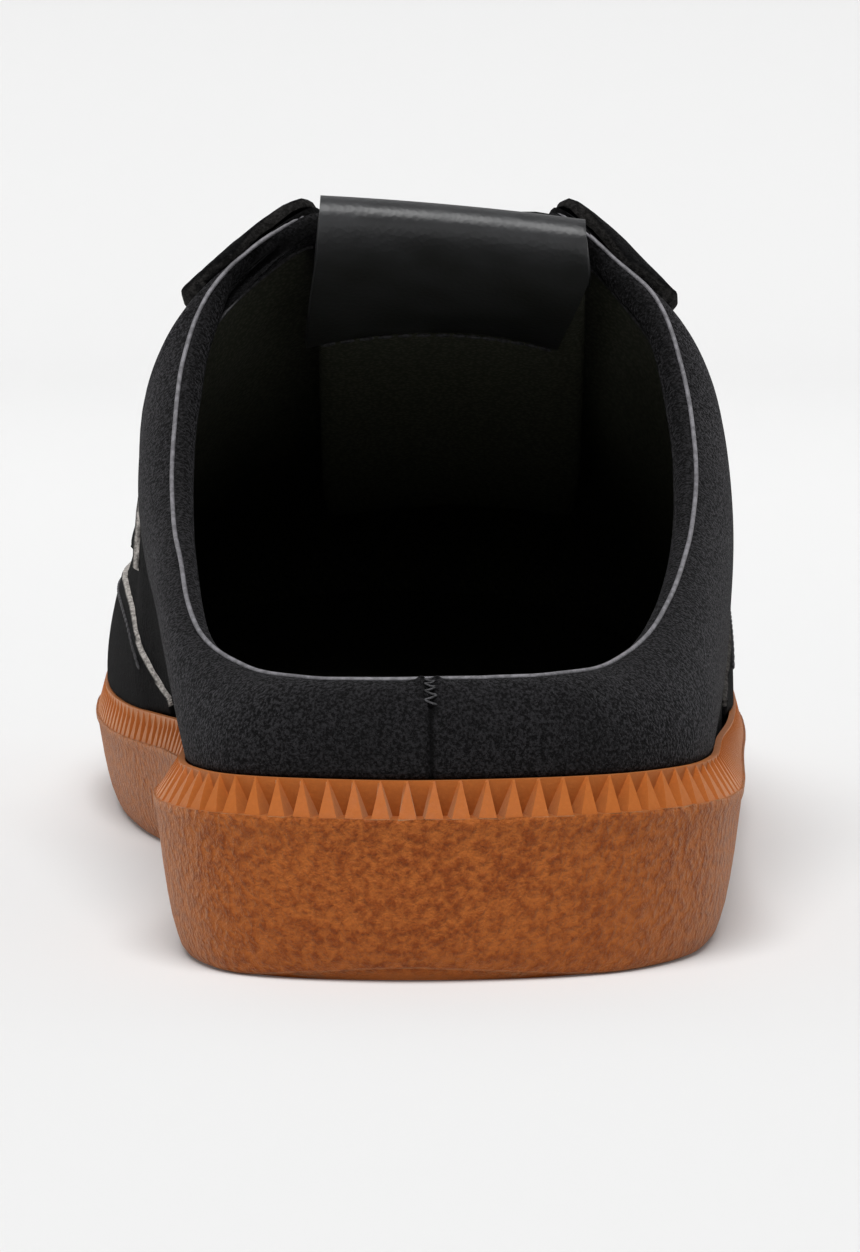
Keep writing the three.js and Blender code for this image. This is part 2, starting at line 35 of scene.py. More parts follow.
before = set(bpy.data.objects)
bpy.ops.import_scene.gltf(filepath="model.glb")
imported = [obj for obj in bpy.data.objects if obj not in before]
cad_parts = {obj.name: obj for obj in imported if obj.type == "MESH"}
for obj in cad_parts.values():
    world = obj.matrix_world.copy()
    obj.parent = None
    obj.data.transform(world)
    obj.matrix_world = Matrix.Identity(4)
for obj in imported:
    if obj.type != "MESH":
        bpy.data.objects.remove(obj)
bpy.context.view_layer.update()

MM = 0.001


def table(columns, rows):
    """Rows of numbers become dictionaries with the named columns."""
    return [dict(zip(columns, row)) for row in rows]


# Sole outline seen from above: share of the length, then both sides as shares of the half width
HEEL_OUTLINE = table(("at", "inner", "outer"), [
    (0, 0.129, -0.129),
    (0.0075, 0.457, 0.229),
    (0.019, 0.671, 0.471),
    (0.037, 0.829, 0.686),
    (0.075, 0.957, 0.9),
    (0.12, 1, 1),
    (0.187, 0.994, 1.051),
    (0.261, 0.977, 1.086),
    (0.336, 1, 1.12),
])
BALL_OUTLINE = table(("at", "inner", "outer"), [
    (0.418, 0.825, 0.855),
    (0.489, 0.947, 0.884),
    (0.56, 1.029, 0.905),
    (0.634, 1.074, 0.909),
    (0.709, 1.084, 0.874),
    (0.776, 1.04, 0.81),
    (0.84, 0.955, 0.72),
    (0.896, 0.86, 0.6),
    (0.94, 0.74, 0.46),
    (0.978, 0.53, 0.22),
    (1, 0.16, -0.16),
])

# Height of the sole's top edge: share of the length, share of the sole's height
TOP_EDGE = table(("at", "up"), [
    (0, 1),
    (0.18, 0.94),
    (0.4, 0.812),
    (0.49, 0.769),
    (0.6, 0.756),
    (0.68, 0.756),
    (0.82, 0.795),
    (0.93, 0.919),
    (1, 1),
])

# Side wall of the sole, from the ledge down: share of the wall's height, share of the side taper
SIDE_WALL = table(("up", "inset"), [
    (1, 0.02),
    (0.985, 0),
    (0.95, 0.02),
    (0.9, 0.12),
    (0.75, 0.24),
    (0.55, 0.4),
    (0.38, 0.57),
    (0.24, 0.74),
    (0.13, 0.94),
    (0.06, 1.1),
    (0.02, 1.3),
    (0, 1.6),
])

# Walking face: shares of the length where the heel bevel ends, the arch begins and ends, the toe lifts
BEVEL_END = 0.03
ARCH_START = 0.28
ARCH_END = 0.466
TOE_START = 0.746
BEVEL_CHANGE = (0.2, 0.42)  # from the heel's depth of the serrated bevel to the ball's

# Ribs of the upper from the back to the toe: where each leaves the sole, where it ends on each side
# (at along the length, out in half widths, up from heel to instep height), and its handles
RIB_COLUMNS = (
    "rim", "outer_at", "outer_out", "outer_up", "inner_at", "inner_out", "inner_up",
    "rise", "outer_flare", "inner_flare", "reach", "drop",
)
COLLAR_RIBS = table(RIB_COLUMNS, [
    (0, 0.03, -0.086, 0, 0.03, 0.086, 0, 0.5, 0.1, 0.1, 0.4, 0),
    (0.0075, 0.036, 0.14, 0, 0.034, 0.29, -0.003, 0.5, 0.1, 0.1, 0.4, 0),
    (0.03, 0.051, 0.36, 0, 0.047, 0.48, -0.005, 0.5, 0.1, 0.1, 0.4, 0),
    (0.075, 0.086, 0.55, 0.008, 0.084, 0.67, 0, 0.5, 0.1, 0.1, 0.4, 0),
    (0.142, 0.146, 0.715, 0.063, 0.144, 0.846, 0.05, 0.5, 0.12, 0.15, 0.36, 0.02),
    (0.216, 0.224, 0.837, 0.169, 0.224, 0.937, 0.175, 0.45, 0.08, 0.18, 0.25, 0.08),
    (0.291, 0.299, 0.9, 0.307, 0.299, 0.983, 0.307, 0.42, 0.04, 0.18, 0.21, 0.14),
    (0.358, 0.358, 0.897, 0.497, 0.358, 0.983, 0.516, 0.42, 0.02, 0.16, 0.19, 0.18),
    (0.41, 0.399, 0.82, 0.715, 0.399, 0.93, 0.706, 0.4, 0.01, 0.1, 0.2, 0.17),
    (0.455, 0.422, 0.67, 0.85, 0.422, 0.795, 0.86, 0.38, 0, 0.06, 0.26, 0.16),
])
THROAT_RIBS = table(RIB_COLUMNS, [
    (0.493, 0.437, 0.96, 1, 0.437, 1.12, 1, 0.36, 0, 0.03, 0.3, 0.14),
    (0.541, 0.478, 0.84, 0.9, 0.478, 0.95, 0.9, 0.36, 0, 0.02, 0.34, 0.15),
    (0.604, 0.53, 0.78, 0.78, 0.53, 0.9, 0.79, 0.35, 0, 0.02, 0.36, 0.15),
    (0.679, 0.586, 0.73, 0.65, 0.586, 0.86, 0.66, 0.35, 0.01, 0.02, 0.4, 0.15),
    (0.765, 0.642, 0.65, 0.527, 0.642, 0.82, 0.53, 0.42, 0.02, 0.02, 0.52, 0.15),
    (0.851, 0.683, 0.48, 0.43, 0.683, 0.7, 0.43, 0.5, 0.03, 0.03, 0.85, 0.17),
    (0.928, 0.7, 0.22, 0.385, 0.7, 0.44, 0.385, 0.58, 0.05, 0.05, 1.3, 0.2),
    (0.976, 0.704, 0.04, 0.376, 0.704, 0.28, 0.376, 0.6, 0.06, 0.06, 1.45, 0.21),
    (1, 0.705, -0.12, 0.374, 0.705, 0.12, 0.374, 0.62, 0.06, 0.06, 1.55, 0.22),
])

# Overlays: rib number counted from the back, then the lower and upper step along the ribs
HEEL_BAND_EDGE = table(("rib", "low", "high"), [
    (0, 0.0, 1.0),
    (5, 0.0, 1.0),
    (6, 0.1, 1.0),
    (7, 0.29, 1.0),
    (8.4, 0.61, 1.0),
    (9.2, 0.82, 1.0),
])
EYESTAY_EDGE = table(("rib", "low", "high"), [
    (9.02, 0.85, 0.99),
    (9.4, 0.76, 0.99),
    (10, 0.66, 0.99),
    (12, 0.58, 0.98),
    (14, 0.62, 0.98),
    (16, 0.74, 0.98),
    (18, 0.77, 0.98),
])
SIDE_STAY_EDGE = table(("rib", "low", "high"), [
    (9.3, 0.25, 0.8),
    (10.2, 0.265, 0.76),
    (11, 0.29, 0.7),
    (12, 0.36, 0.66),
    (12.8, 0.5, 0.68),
    (13.3, 0.64, 0.7),
])
FOXING_EDGE = table(("rib", "low", "high"), [
    (8.2, 0.0, 0.04),
    (9.5, 0.0, 0.14),
    (11, 0.0, 0.22),
    (13, 0.0, 0.29),
    (15, 0.0, 0.33),
    (18, 0.0, 0.36),
])

# Tongue from its root to its top: at along the length, up from heel to instep height, width, bow across
TONGUE_PATH = table(("at", "up", "width", "bow"), [
    (0.745, 0.22, 1.04, 0.14),
    (0.705, 0.29, 1.06, 0.13),
    (0.65, 0.4, 1.06, 0.12),
    (0.597, 0.525, 1.05, 0.11),
    (0.541, 0.65, 1.04, 0.1),
    (0.482, 0.77, 1.02, 0.09),
    (0.441, 0.862, 0.99, 0.08),
    (0.419, 0.93, 0.96, 0.06),
    (0.411, 0.99, 0.93, 0.04),
])


def millimetres(value, name, description):
    """A length property whose default is given in millimetres."""
    return bpy.props.FloatProperty(
        name=name, description=description, default=value * MM, unit="LENGTH", subtype="DISTANCE",
        precision=5,
    )


class ShoeSizes(bpy.types.PropertyGroup):
    """Lengths that shape the shoe"""

    length: millimetres(268, "Length", "Heel to toe, over the sole")
    heel_width: millimetres(70, "Heel width", "Sole, across the heel seat")
    ball_width: millimetres(95, "Ball width", "Sole, across the ball")
    heel_height: millimetres(34.3, "Heel height", "Ground to the collar edge at the back")
    instep_height: millimetres(87.3, "Instep height", "Ground to the top corners of the throat")
    throat_width: millimetres(32, "Throat width", "Between the top corners of the throat")
    wall: millimetres(2, "Wall", "Thickness of the upper with its lining")
    sole_height: millimetres(23.4, "Sole height", "Ground to the sole's top edge at the back")
    cup_depth: millimetres(6, "Cup depth", "Sole's top edge down to the floor of the cup")
    lip_width: millimetres(0.8, "Lip", "Top edge of the sole beside the upper")
    clearance: millimetres(0.3, "Clearance", "Between neighbouring pieces")
    heel_bevel: millimetres(1.6, "Heel bevel", "Rise of the walking face at the back")
    arch_lift: millimetres(2.2, "Arch", "Rise of the walking face under the waist")
    toe_spring: millimetres(8.5, "Toe spring", "Rise of the walking face at the toe")
    side_taper: millimetres(2.9, "Side taper", "How far the side wall draws in")
    serration_height: millimetres(4.1, "Serration height", "Height of the serrated bevel")
    heel_serration: millimetres(3, "Heel serration", "Depth of the serrated bevel at the heel")
    ball_serration: millimetres(1.4, "Ball serration", "Depth of the serrated bevel at the ball")
    tooth_pitch: millimetres(3.1, "Tooth pitch", "From one tooth of the bevel to the next")
    insole_thickness: millimetres(5.2, "Insole", "Thickness of the insole")
    overlay_thickness: millimetres(1.1, "Overlay", "Thickness of the suede overlays")
    tongue_width: millimetres(36, "Tongue width", "Across the tongue")
    tongue_thickness: millimetres(5, "Tongue", "Thickness of the padded tongue")
    tab_thickness: millimetres(1.3, "Tab", "Thickness of the leather tab")
    lace_width: millimetres(6, "Lace width", "Across the flat lace")


def colour(name, description, default):
    """A colour property."""
    return bpy.props.FloatVectorProperty(
        name=name, description=description, default=default, subtype="COLOR", size=3, min=0, max=1,
    )


class ShoeColours(bpy.types.PropertyGroup):
    """Colours of the shoe's materials and of the floor"""

    gum: colour("Gum", "Smooth gum rubber", (0.375, 0.104, 0.019))
    gum_dark: colour("Gum, dark", "Mottles in the gum rubber", (0.185, 0.036, 0.0045))
    suede: colour("Suede", "Napped suede", (0.0031, 0.0031, 0.0033))
    microsuede: colour("Microsuede", "Heel band", (0.0074, 0.0072, 0.0078))
    leather: colour("Leather", "Tab of the tongue", (0.014, 0.0145, 0.016))
    lining: colour("Lining", "Inside of the shoe", (0.075, 0.077, 0.058))
    raw_edge: colour("Raw edge", "Cut edges of the suede", (0.5, 0.47, 0.44))
    lace: colour("Lace", "Flat lace", (0.0085, 0.0085, 0.0085))
    ground: colour("Ground", "Floor of the stage", (0.722, 0.722, 0.722))


def catmull(values, place, closed, turn=0.0):
    """Smooth value through a list; a closed list grows by one turn each time round."""
    count = len(values)
    start = math.floor(place if closed else min(place, count - 1 - 1e-9))
    f = place - start

    def pick(step):
        k = start + step
        if not closed:
            return values[min(max(k, 0), count - 1)]
        return values[k % count] + turn * (k // count)

    a, b, c, d = pick(-1), pick(0), pick(1), pick(2)
    return b + 0.5 * f * (c - a + f * (2 * a - 5 * b + 4 * c - d + f * (3 * (b - c) + d - a)))


def read_table(rows, key_name, key, name):
    """Smooth value of one column of a table at a key."""
    last = len(rows) - 1
    key = min(max(key, rows[0][key_name]), rows[last][key_name])
    k = 0
    while k < last - 1 and rows[k + 1][key_name] < key:
        k += 1
    f = (key - rows[k][key_name]) / (rows[k + 1][key_name] - rows[k][key_name])
    return catmull([row[name] for row in rows], k + f, False)


def smooth_path(points, place):
    """Place on a smooth curve through points, counted in points."""
    return Vector([catmull([point[axis] for point in points], place, False) for axis in range(3)])


def smooth_step(low, high, x):
    """Soft step from 0 at low to 1 at high."""
    x = min(max((x - low) / (high - low), 0.0), 1.0)
    return x * x * (3 - 2 * x)


def mix(a, b, f):
    """The value a share f of the way from a to b."""
    return a + (b - a) * f


OUTLINE_STEPS = 720  # round the outline, to find its middle
ARC_STEPS = 1440  # round the outline, to measure its girth
NORMAL_STEP = 0.02  # in rib numbers and in steps along a rib, either side of a normal
LENGTH_STEPS = 12  # along a rib, to measure it


class Last:
    """The form that sole and upper follow, in metres."""

    def __init__(self, sizes):
        self.sizes = sizes
        self.points, self.toe_share = self.outline_points(Vector((0, 0)))
        steps = [self.raw_outline(k / OUTLINE_STEPS) for k in range(OUTLINE_STEPS)]
        low = Vector((min(p.x for p in steps), min(p.y for p in steps)))
        high = Vector((max(p.x for p in steps), max(p.y for p in steps)))
        self.centre = (low + high) / 2
        self.points, self.toe_share = self.outline_points(self.centre)
        self.arc = [0.0]
        for k in range(ARC_STEPS):
            step = self.raw_outline((k + 1) / ARC_STEPS) - self.raw_outline(k / ARC_STEPS)
            self.arc.append(self.arc[-1] + step.length)
        self.girth = self.arc[-1]
        self.make_ribs()

    def outline_points(self, centre):
        """The outline's corners from the back round the outer side, and the toe's share of them."""
        s = self.sizes
        rows = [(row, s.heel_width / 2) for row in HEEL_OUTLINE]
        rows += [(row, s.ball_width / 2) for row in BALL_OUTLINE]
        outer = [Vector((row["outer"] * half, row["at"] * s.length)) - centre for row, half in rows]
        inner = [Vector((-row["inner"] * half, row["at"] * s.length)) - centre for row, half in rows]
        points = outer + inner[1:-1][::-1]
        return points, (len(outer) - 1) / len(points)

    def raw_outline(self, s):
        """Centripetal curve through the outline's corners, s from 0 at the back to 1 all the way round."""
        points = self.points
        count = len(points)
        place = (s - math.floor(s)) * count
        k = math.floor(place)
        f = place - k
        p0, p1, p2, p3 = (points[(k + step) % count] for step in (-1, 0, 1, 2))
        d0, d1, d2 = (math.sqrt((b - a).length) for a, b in ((p0, p1), (p1, p2), (p2, p3)))
        t1 = ((p1 - p0) / d0 - (p2 - p0) / (d0 + d1) + (p2 - p1) / d1) * d1
        t2 = ((p2 - p1) / d1 - (p3 - p1) / (d1 + d2) + (p3 - p2) / d2) * d1
        c2 = -3 * p1 + 3 * p2 - 2 * t1 - t2
        c3 = 2 * p1 - 2 * p2 + t1 + t2
        return p1 + f * (t1 + f * (c2 + f * c3))

    def share_of_arc(self, fraction):
        """Parameter of the outline at a fraction of its girth."""
        turns = math.floor(fraction)
        target = (fraction - turns) * self.girth
        low, high = 0, len(self.arc) - 1
        while high - low > 1:
            middle = (low + high) // 2
            if self.arc[middle] <= target:
                low = middle
            else:
                high = middle
        f = (target - self.arc[low]) / max(self.arc[high] - self.arc[low], 1e-12)
        return turns + (low + f) / (len(self.arc) - 1)

    @lru_cache(maxsize=None)
    def outline_at(self, s):
        """Place on the outline and the outward direction there."""
        place = self.raw_outline(s)
        along = self.raw_outline(s + 1e-4) - self.raw_outline(s - 1e-4)
        return place, Vector((along.y, -along.x)).normalized()

    def drawn_in(self, s, inset):
        """Place on the outline, moved in by inset."""
        place, out = self.outline_at(s)
        return place - out * inset

    def along(self, y):
        """Share of the length at a y."""
        return (y + self.centre.y) / self.sizes.length

    def y_at(self, share):
        """The y at a share of the length."""
        return share * self.sizes.length - self.centre.y

    def top_z(self, share):
        """Height of the sole's top edge."""
        return self.sizes.sole_height * read_table(TOP_EDGE, "at", share, "up")

    def serration(self, share):
        """Depth of the serrated bevel."""
        s = self.sizes
        return mix(s.heel_serration, s.ball_serration, smooth_step(*BEVEL_CHANGE, share))

    def rim_inset(self, share):
        """From the sole's widest line in to the upper."""
        return self.serration(share) + self.sizes.lip_width + self.sizes.clearance

    def bottom_z(self, share):
        """Height of the walking face: heel bevel, arch and toe spring."""
        s = self.sizes
        if share < BEVEL_END:
            return s.heel_bevel * (1 - share / BEVEL_END) ** 2
        if share > TOE_START:
            return s.toe_spring * ((share - TOE_START) / (1 - TOE_START)) ** 2
        if share < ARCH_START or share > ARCH_END:
            return 0.0
        return s.arch_lift * math.sin(math.pi * (share - ARCH_START) / (ARCH_END - ARCH_START)) ** 2

    def outline_share(self, share, outer):
        """Where the outline reaches a share of the length on one side."""

        def place(s):
            return s if outer else 1 - s * (1 - self.toe_share) / self.toe_share

        low, high = 0.0, self.toe_share
        for _ in range(40):
            middle = (low + high) / 2
            if self.along(self.raw_outline(place(middle)).y) < share:
                low = middle
            else:
                high = middle
        return place(low)

    def make_ribs(self):
        """Lists of the ribs' feet, edges and handles, once round the shoe."""
        s = self.sizes
        half_ribs = [(row, s.heel_width / 2, True) for row in COLLAR_RIBS]
        half_ribs += [(row, s.throat_width / 2, False) for row in THROAT_RIBS]
        span = s.instep_height - s.heel_height

        def make(row, half, collar, side):
            sign = 1 if side == "outer" else -1
            share = self.outline_share(row["rim"], side == "outer")
            place, out = self.outline_at(share)
            flat = place - out * self.rim_inset(row["rim"])
            rim = Vector((flat.x, flat.y, self.top_z(self.along(flat.y))))
            edge = Vector((
                sign * row[side + "_out"] * half - self.centre.x,
                self.y_at(row[side + "_at"]),
                s.heel_height + row[side + "_up"] * span,
            ))
            height = edge.z - rim.z
            away = Vector((out.x, out.y, 0)) if collar else Vector((*(rim - edge).xy, 0)).normalized()
            lean = away * row["reach"] * height - Vector((0, 0, row["drop"] * height))
            return share, edge, lean, row["rise"], row[side + "_flare"]

        ribs = [make(*rib, "outer") for rib in half_ribs]
        ribs += [make(*rib, "inner") for rib in half_ribs[1:-1][::-1]]
        self.rib_count = len(ribs)
        self.toe_rib = len(half_ribs) - 1
        self.rib_share, edges, leans, self.rib_rise, self.rib_flare = zip(*ribs)
        self.rib_edge = [[v[axis] for v in edges] for axis in range(3)]
        self.rib_lean = [[v[axis] for v in leans] for axis in range(3)]

    @lru_cache(maxsize=None)
    def rib_at(self, rib):
        """Foot, both handles and edge of a rib, and the outward direction at its foot."""
        s = catmull(self.rib_share, rib, True, 1.0)
        place, out = self.outline_at(s)
        flat = place - out * self.rim_inset(self.along(place.y))
        foot = Vector((flat.x, flat.y, self.top_z(self.along(flat.y))))
        edge = Vector([catmull(values, rib, True) for values in self.rib_edge])
        lean = Vector([catmull(values, rib, True) for values in self.rib_lean])
        height = edge.z - foot.z
        out = Vector((out.x, out.y, 0))
        first = foot + out * catmull(self.rib_flare, rib, True) * height
        first.z += catmull(self.rib_rise, rib, True) * height
        return foot, first, edge + lean, edge, out

    def shell(self, rib, step):
        """A place of the upper: step -1 on the cup's floor, 0 at the sole's top, 1 at the edge."""
        foot, first, second, edge, _ = self.rib_at(rib)
        if step < 0:
            return foot + Vector((0, 0, step * (self.sizes.cup_depth - self.sizes.clearance)))
        rest = 1 - step
        return (
            foot * rest**3 + first * (3 * rest * rest * step)
            + second * (3 * rest * step * step) + edge * step**3
        )

    def normal(self, rib, step):
        """Outward direction of the upper's surface."""
        probe = NORMAL_STEP
        around = self.shell(rib + probe, step) - self.shell(rib - probe, step)
        if step <= 0:
            up = Vector((0, 0, 1))
        else:
            up = self.shell(rib, min(step + probe, 1)) - self.shell(rib, max(step - probe, 0))
        return around.cross(up).normalized()

    def offset(self, rib, step, distance):
        """A place of the upper's surface, moved out along its normal."""
        return self.shell(rib, step) + self.normal(rib, step) * distance

    @lru_cache(maxsize=None)
    def rib_length(self, rib):
        """Length of a rib from the sole's top to its edge."""
        places = [self.shell(rib, k / LENGTH_STEPS) for k in range(LENGTH_STEPS + 1)]
        return sum((b - a).length for a, b in zip(places, places[1:]))

    def from_back(self, rib):
        """Rib number counted from the back, the same on both sides."""
        return abs((rib + self.toe_rib) % self.rib_count - self.toe_rib)


_lasts = {}


def property_names(group):
    """Names of a group's sizes or colours."""
    return [name for name in group.bl_rna.properties.keys() if name not in ("rna_type", "name")]


def last_of(context):
    """The last for the scene's sizes, worked out once for each set of them."""
    sizes = context.scene.shoe_sizes
    key = tuple(getattr(sizes, name) for name in property_names(sizes))
    if key not in _lasts:
        _lasts[key] = Last(sizes)
    return _lasts[key]


# Mesh helpers

SEAM_MERGE = 1e-6  # metres within which a grid's meeting corners become one
SLIVER = 1e-7  # metres below which an edge is taken out


def finish_mesh(bm, name, material, sharp_degrees=60, closed=True):
    """Turns a bmesh into an object at the origin, with its material and smooth shading."""
    bmesh.ops.remove_doubles(bm, verts=bm.verts, dist=SEAM_MERGE)
    bmesh.ops.dissolve_degenerate(bm, dist=SLIVER, edges=bm.edges)
    if not bm.faces:
        raise RuntimeError(name + " came out without faces")
    if closed:
        bmesh.ops.recalc_face_normals(bm, faces=bm.faces)
        if bm.calc_volume(signed=True) < 0:
            bmesh.ops.reverse_faces(bm, faces=bm.faces)
    mesh = bpy.data.meshes.new(name)
    bm.to_mesh(mesh)
    bm.free()
    mesh.materials.append(material)
    mesh.shade_smooth()
    mesh.set_sharp_from_angle(angle=math.radians(sharp_degrees))
    piece = bpy.data.objects.new(name, mesh)
    bpy.context.scene.collection.objects.link(piece)
    return piece


def formed_grid(bm, columns, rows, place, tags=()):
    """A flat grid shaped by place(i, j), which gives a point and the values of the tags."""
    layers = [bm.verts.layers.float.get(tag) or bm.verts.layers.float.new(tag) for tag in tags]
    made = bmesh.ops.create_grid(bm, x_segments=columns, y_segments=rows, size=0.5)
    for vert in made["verts"]:
        i = round((vert.co.x + 0.5) * columns)
        j = round((vert.co.y + 0.5) * rows)
        point, *values = place(i, j)
        vert.co = point
        for layer, value in zip(layers, values):
            vert[layer] = value


def root_piece(piece, slot_name, *nodes):
    """Fixes a piece to the shoe's one body, in the place of the named solids."""
    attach(piece, "root")
    if nodes:
        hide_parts(*nodes)
    return piece


# Materials


class Finish:
    """A Principled material being built, with short calls for its pattern nodes."""

    def __init__(self, name, base, roughness, **sockets):
        self.material = bpy.data.materials.new(name)
        self.material.use_nodes = True
        self.tree = self.material.node_tree
        self.shader = self.tree.nodes["Principled BSDF"]
        self.shader.inputs["Base Color"].default_value = (*base, 1)
        self.shader.inputs["Roughness"].default_value = roughness
        for socket, value in sockets.items():
            self.shader.inputs[socket.replace("_", " ")].default_value = value
        self.place = self.node("ShaderNodeTexCoord").outputs["Object"]

    def node(self, kind, **settings):
        """A new node with its settings."""
        made = self.tree.nodes.new(kind)
        for key, value in settings.items():
            setattr(made, key, value)
        return made

    def link(self, source, socket):
        self.tree.links.new(source, socket)

    def noise(self, size, detail=2.0, roughness=0.5, distortion=0.0):
        """Noise whose blobs are about size metres across."""
        texture = self.node("ShaderNodeTexNoise")
        texture.inputs["Scale"].default_value = 0.6 / size
        texture.inputs["Detail"].default_value = detail
        texture.inputs["Roughness"].default_value = roughness
        texture.inputs["Distortion"].default_value = distortion
        self.link(self.place, texture.inputs["Vector"])
        return texture.outputs["Fac"]

    def cells(self, size):
        """Distance from the middles of cells about size metres across."""
        texture = self.node("ShaderNodeTexVoronoi")
        texture.inputs["Scale"].default_value = 1 / size
        self.link(self.place, texture.inputs["Vector"])
        return texture.outputs["Distance"]

    def tag(self, name):
        """A value that the piece's mesh carries."""
        return self.node("ShaderNodeAttribute", attribute_name=name).outputs["Fac"]

    def spread(self, value, low, high, to_low=0.0, to_high=1.0):
        """A value's soft step from low to high, as a number from to_low to to_high."""
        ranged = self.node("ShaderNodeMapRange", interpolation_type="SMOOTHSTEP")
        limits = {"From Min": low, "From Max": high, "To Min": to_low, "To Max": to_high}
        for socket, number in limits.items():
            ranged.inputs[socket].default_value = number
        self.link(value, ranged.inputs["Value"])
        return ranged.outputs["Result"]

    def times(self, a, b):
        """Product of two values, each a number or a socket."""
        made = self.node("ShaderNodeMath", operation="MULTIPLY")
        for socket, value in zip(made.inputs, (a, b)):
            if isinstance(value, (int, float)):
                socket.default_value = value
            else:
                self.link(value, socket)
        return made.outputs["Value"]

    def blend(self, factor, a, b):
        """Colour between a and b, each a colour or a socket."""
        made = self.node("ShaderNodeMix", data_type="RGBA")
        self.link(factor, made.inputs["Factor"])
        for socket, value in ((made.inputs[6], a), (made.inputs[7], b)):
            if isinstance(value, (tuple, list)):
                socket.default_value = (*value, 1)
            else:
                self.link(value, socket)
        return made.outputs[2]

    def paint(self, source):
        """Sets the colour."""
        self.link(source, self.shader.inputs["Base Color"])

    def rough(self, source):
        """Sets the roughness."""
        self.link(source, self.shader.inputs["Roughness"])

    def bump(self, height, depth, strength=1.0):
        """Raises the surface by height times depth metres."""
        made = self.node("ShaderNodeBump")
        made.inputs["Strength"].default_value = strength
        made.inputs["Distance"].default_value = depth
        self.link(height, made.inputs["Height"])
        before = self.shader.inputs["Normal"]
        if before.is_linked:
            self.link(before.links[0].from_socket, made.inputs["Normal"])
        self.link(made.outputs["Normal"], before)


def shade(base, factor):
    """A colour made darker or lighter."""
    return tuple(min(channel * factor, 1) for channel in base)


def gum_rubber(colours):
    """Smooth on the teeth, grained and mottled where the tag grain is one, ribbed where tread is, with
    painted shade in the grooves between the teeth.
    """
    finish = Finish("gum_rubber", colours.gum, 0.6, Specular_IOR_Level=0.1, Sheen_Weight=0.3)
    finish.shader.inputs["Sheen Tint"].default_value = (1, 0.62, 0.36, 1)
    finish.shader.inputs["Sheen Roughness"].default_value = 0.5
    finish.shader.inputs["Subsurface Weight"].default_value = 0.05
    finish.shader.inputs["Subsurface Radius"].default_value = (0.002, 0.0008, 0.0003)
    grain = finish.tag("grain")
    worms = finish.noise(0.0007, detail=3.0, roughness=0.6, distortion=0.12)
    patches = finish.noise(0.012, detail=2)
    mottle = finish.spread(worms, 0.34, 0.68, 0.12, 1.0)
    mottle = finish.times(mottle, finish.spread(patches, 0.25, 0.7, 0.75, 1.05))
    mottle = finish.times(mottle, grain)
    fine = finish.noise(0.0003, detail=2)
    tone = finish.blend(mottle, tuple(colours.gum), tuple(colours.gum_dark))
    # Painted shade: the grooves between the teeth are painted darker, most towards the ledge.
    groove_shade_weight = finish.times(finish.tag("painted_groove_shade"), 0.5)
    painted_groove_shade = finish.blend(groove_shade_weight, tone, shade(colours.gum_dark, 0.9))
    finish.paint(finish.blend(finish.spread(fine, 0.4, 0.75, 0.0, 0.3), painted_groove_shade, shade(colours.gum, 1.25)))
    finish.rough(finish.spread(worms, 0.3, 0.7, 0.58, 0.44))
    finish.bump(finish.times(worms, grain), 0.0008, 1.0)
    finish.bump(fine, 0.00008, 0.4)
    ribs = finish.node("ShaderNodeTexWave", bands_direction="Y", wave_profile="TRI")
    ribs.inputs["Scale"].default_value = 32
    ribs.inputs["Distortion"].default_value = 0
    finish.link(finish.place, ribs.inputs["Vector"])
    tread = finish.spread(ribs.outputs["Fac"], 0.2, 0.45)
    finish.bump(finish.times(tread, finish.tag("tread")), 0.0012, 1.0)
    return finish.material


def speckled_microsuede(colours):
    """Fine short nap with a light and dark speckle, nearly black where the tag dark is one."""
    finish = Finish(
        "speckled_microsuede", colours.microsuede, 0.9, Specular_IOR_Level=0.1, Sheen_Weight=0.05,
    )
    finish.shader.inputs["Sheen Roughness"].default_value = 0.45
    finish.shader.inputs["Sheen Tint"].default_value = (0.8, 0.78, 0.85, 1)
    speckle = finish.noise(0.00024, detail=2, roughness=0.7)
    drift = finish.noise(0.006, detail=3)
    tone = finish.blend(
        finish.spread(speckle, 0.36, 0.7), shade(colours.microsuede, 0.35), shade(colours.microsuede, 2.8),
    )
    tone = finish.blend(finish.spread(drift, 0.3, 0.75, 0.0, 0.3), tone, shade(colours.microsuede, 0.6))
    finish.link(finish.spread(speckle, 0.38, 0.66, 0.0, 0.11), finish.shader.inputs["Sheen Weight"])
    # The tag dark paints shade into the heel seam's groove, and darkens the collar roll's inner side.
    finish.paint(finish.blend(finish.tag("dark"), tone, shade(colours.microsuede, 0.15)))
    finish.bump(speckle, 0.0003, 1.0)
    finish.bump(drift, 0.0004, 0.25)
    return finish.material


def napped_suede(colours):
    """Deep black suede with a rough nap, and pale fibre where the tag raw is one."""
    finish = Finish("napped_suede", colours.suede, 0.95, Specular_IOR_Level=0.05, Sheen_Weight=0.012)
    finish.shader.inputs["Sheen Roughness"].default_value = 0.5
    nap = finish.noise(0.00042, detail=3, roughness=0.75)
    brushed = finish.noise(0.005, detail=3, distortion=1.2)
    tone = finish.blend(finish.spread(nap, 0.36, 0.7), shade(colours.suede, 0.4), shade(colours.suede, 2.2))
    tone = finish.blend(finish.spread(brushed, 0.35, 0.7, 0.0, 0.5), tone, shade(colours.suede, 1.8))
    fibre = finish.blend(
        finish.spread(nap, 0.4, 0.62), shade(colours.raw_edge, 0.5), shade(colours.raw_edge, 1.2),
    )
    finish.paint(finish.blend(finish.tag("raw"), tone, fibre))
    finish.bump(nap, 0.0005, 0.9)
    finish.bump(brushed, 0.0005, 0.3)
    return finish.material


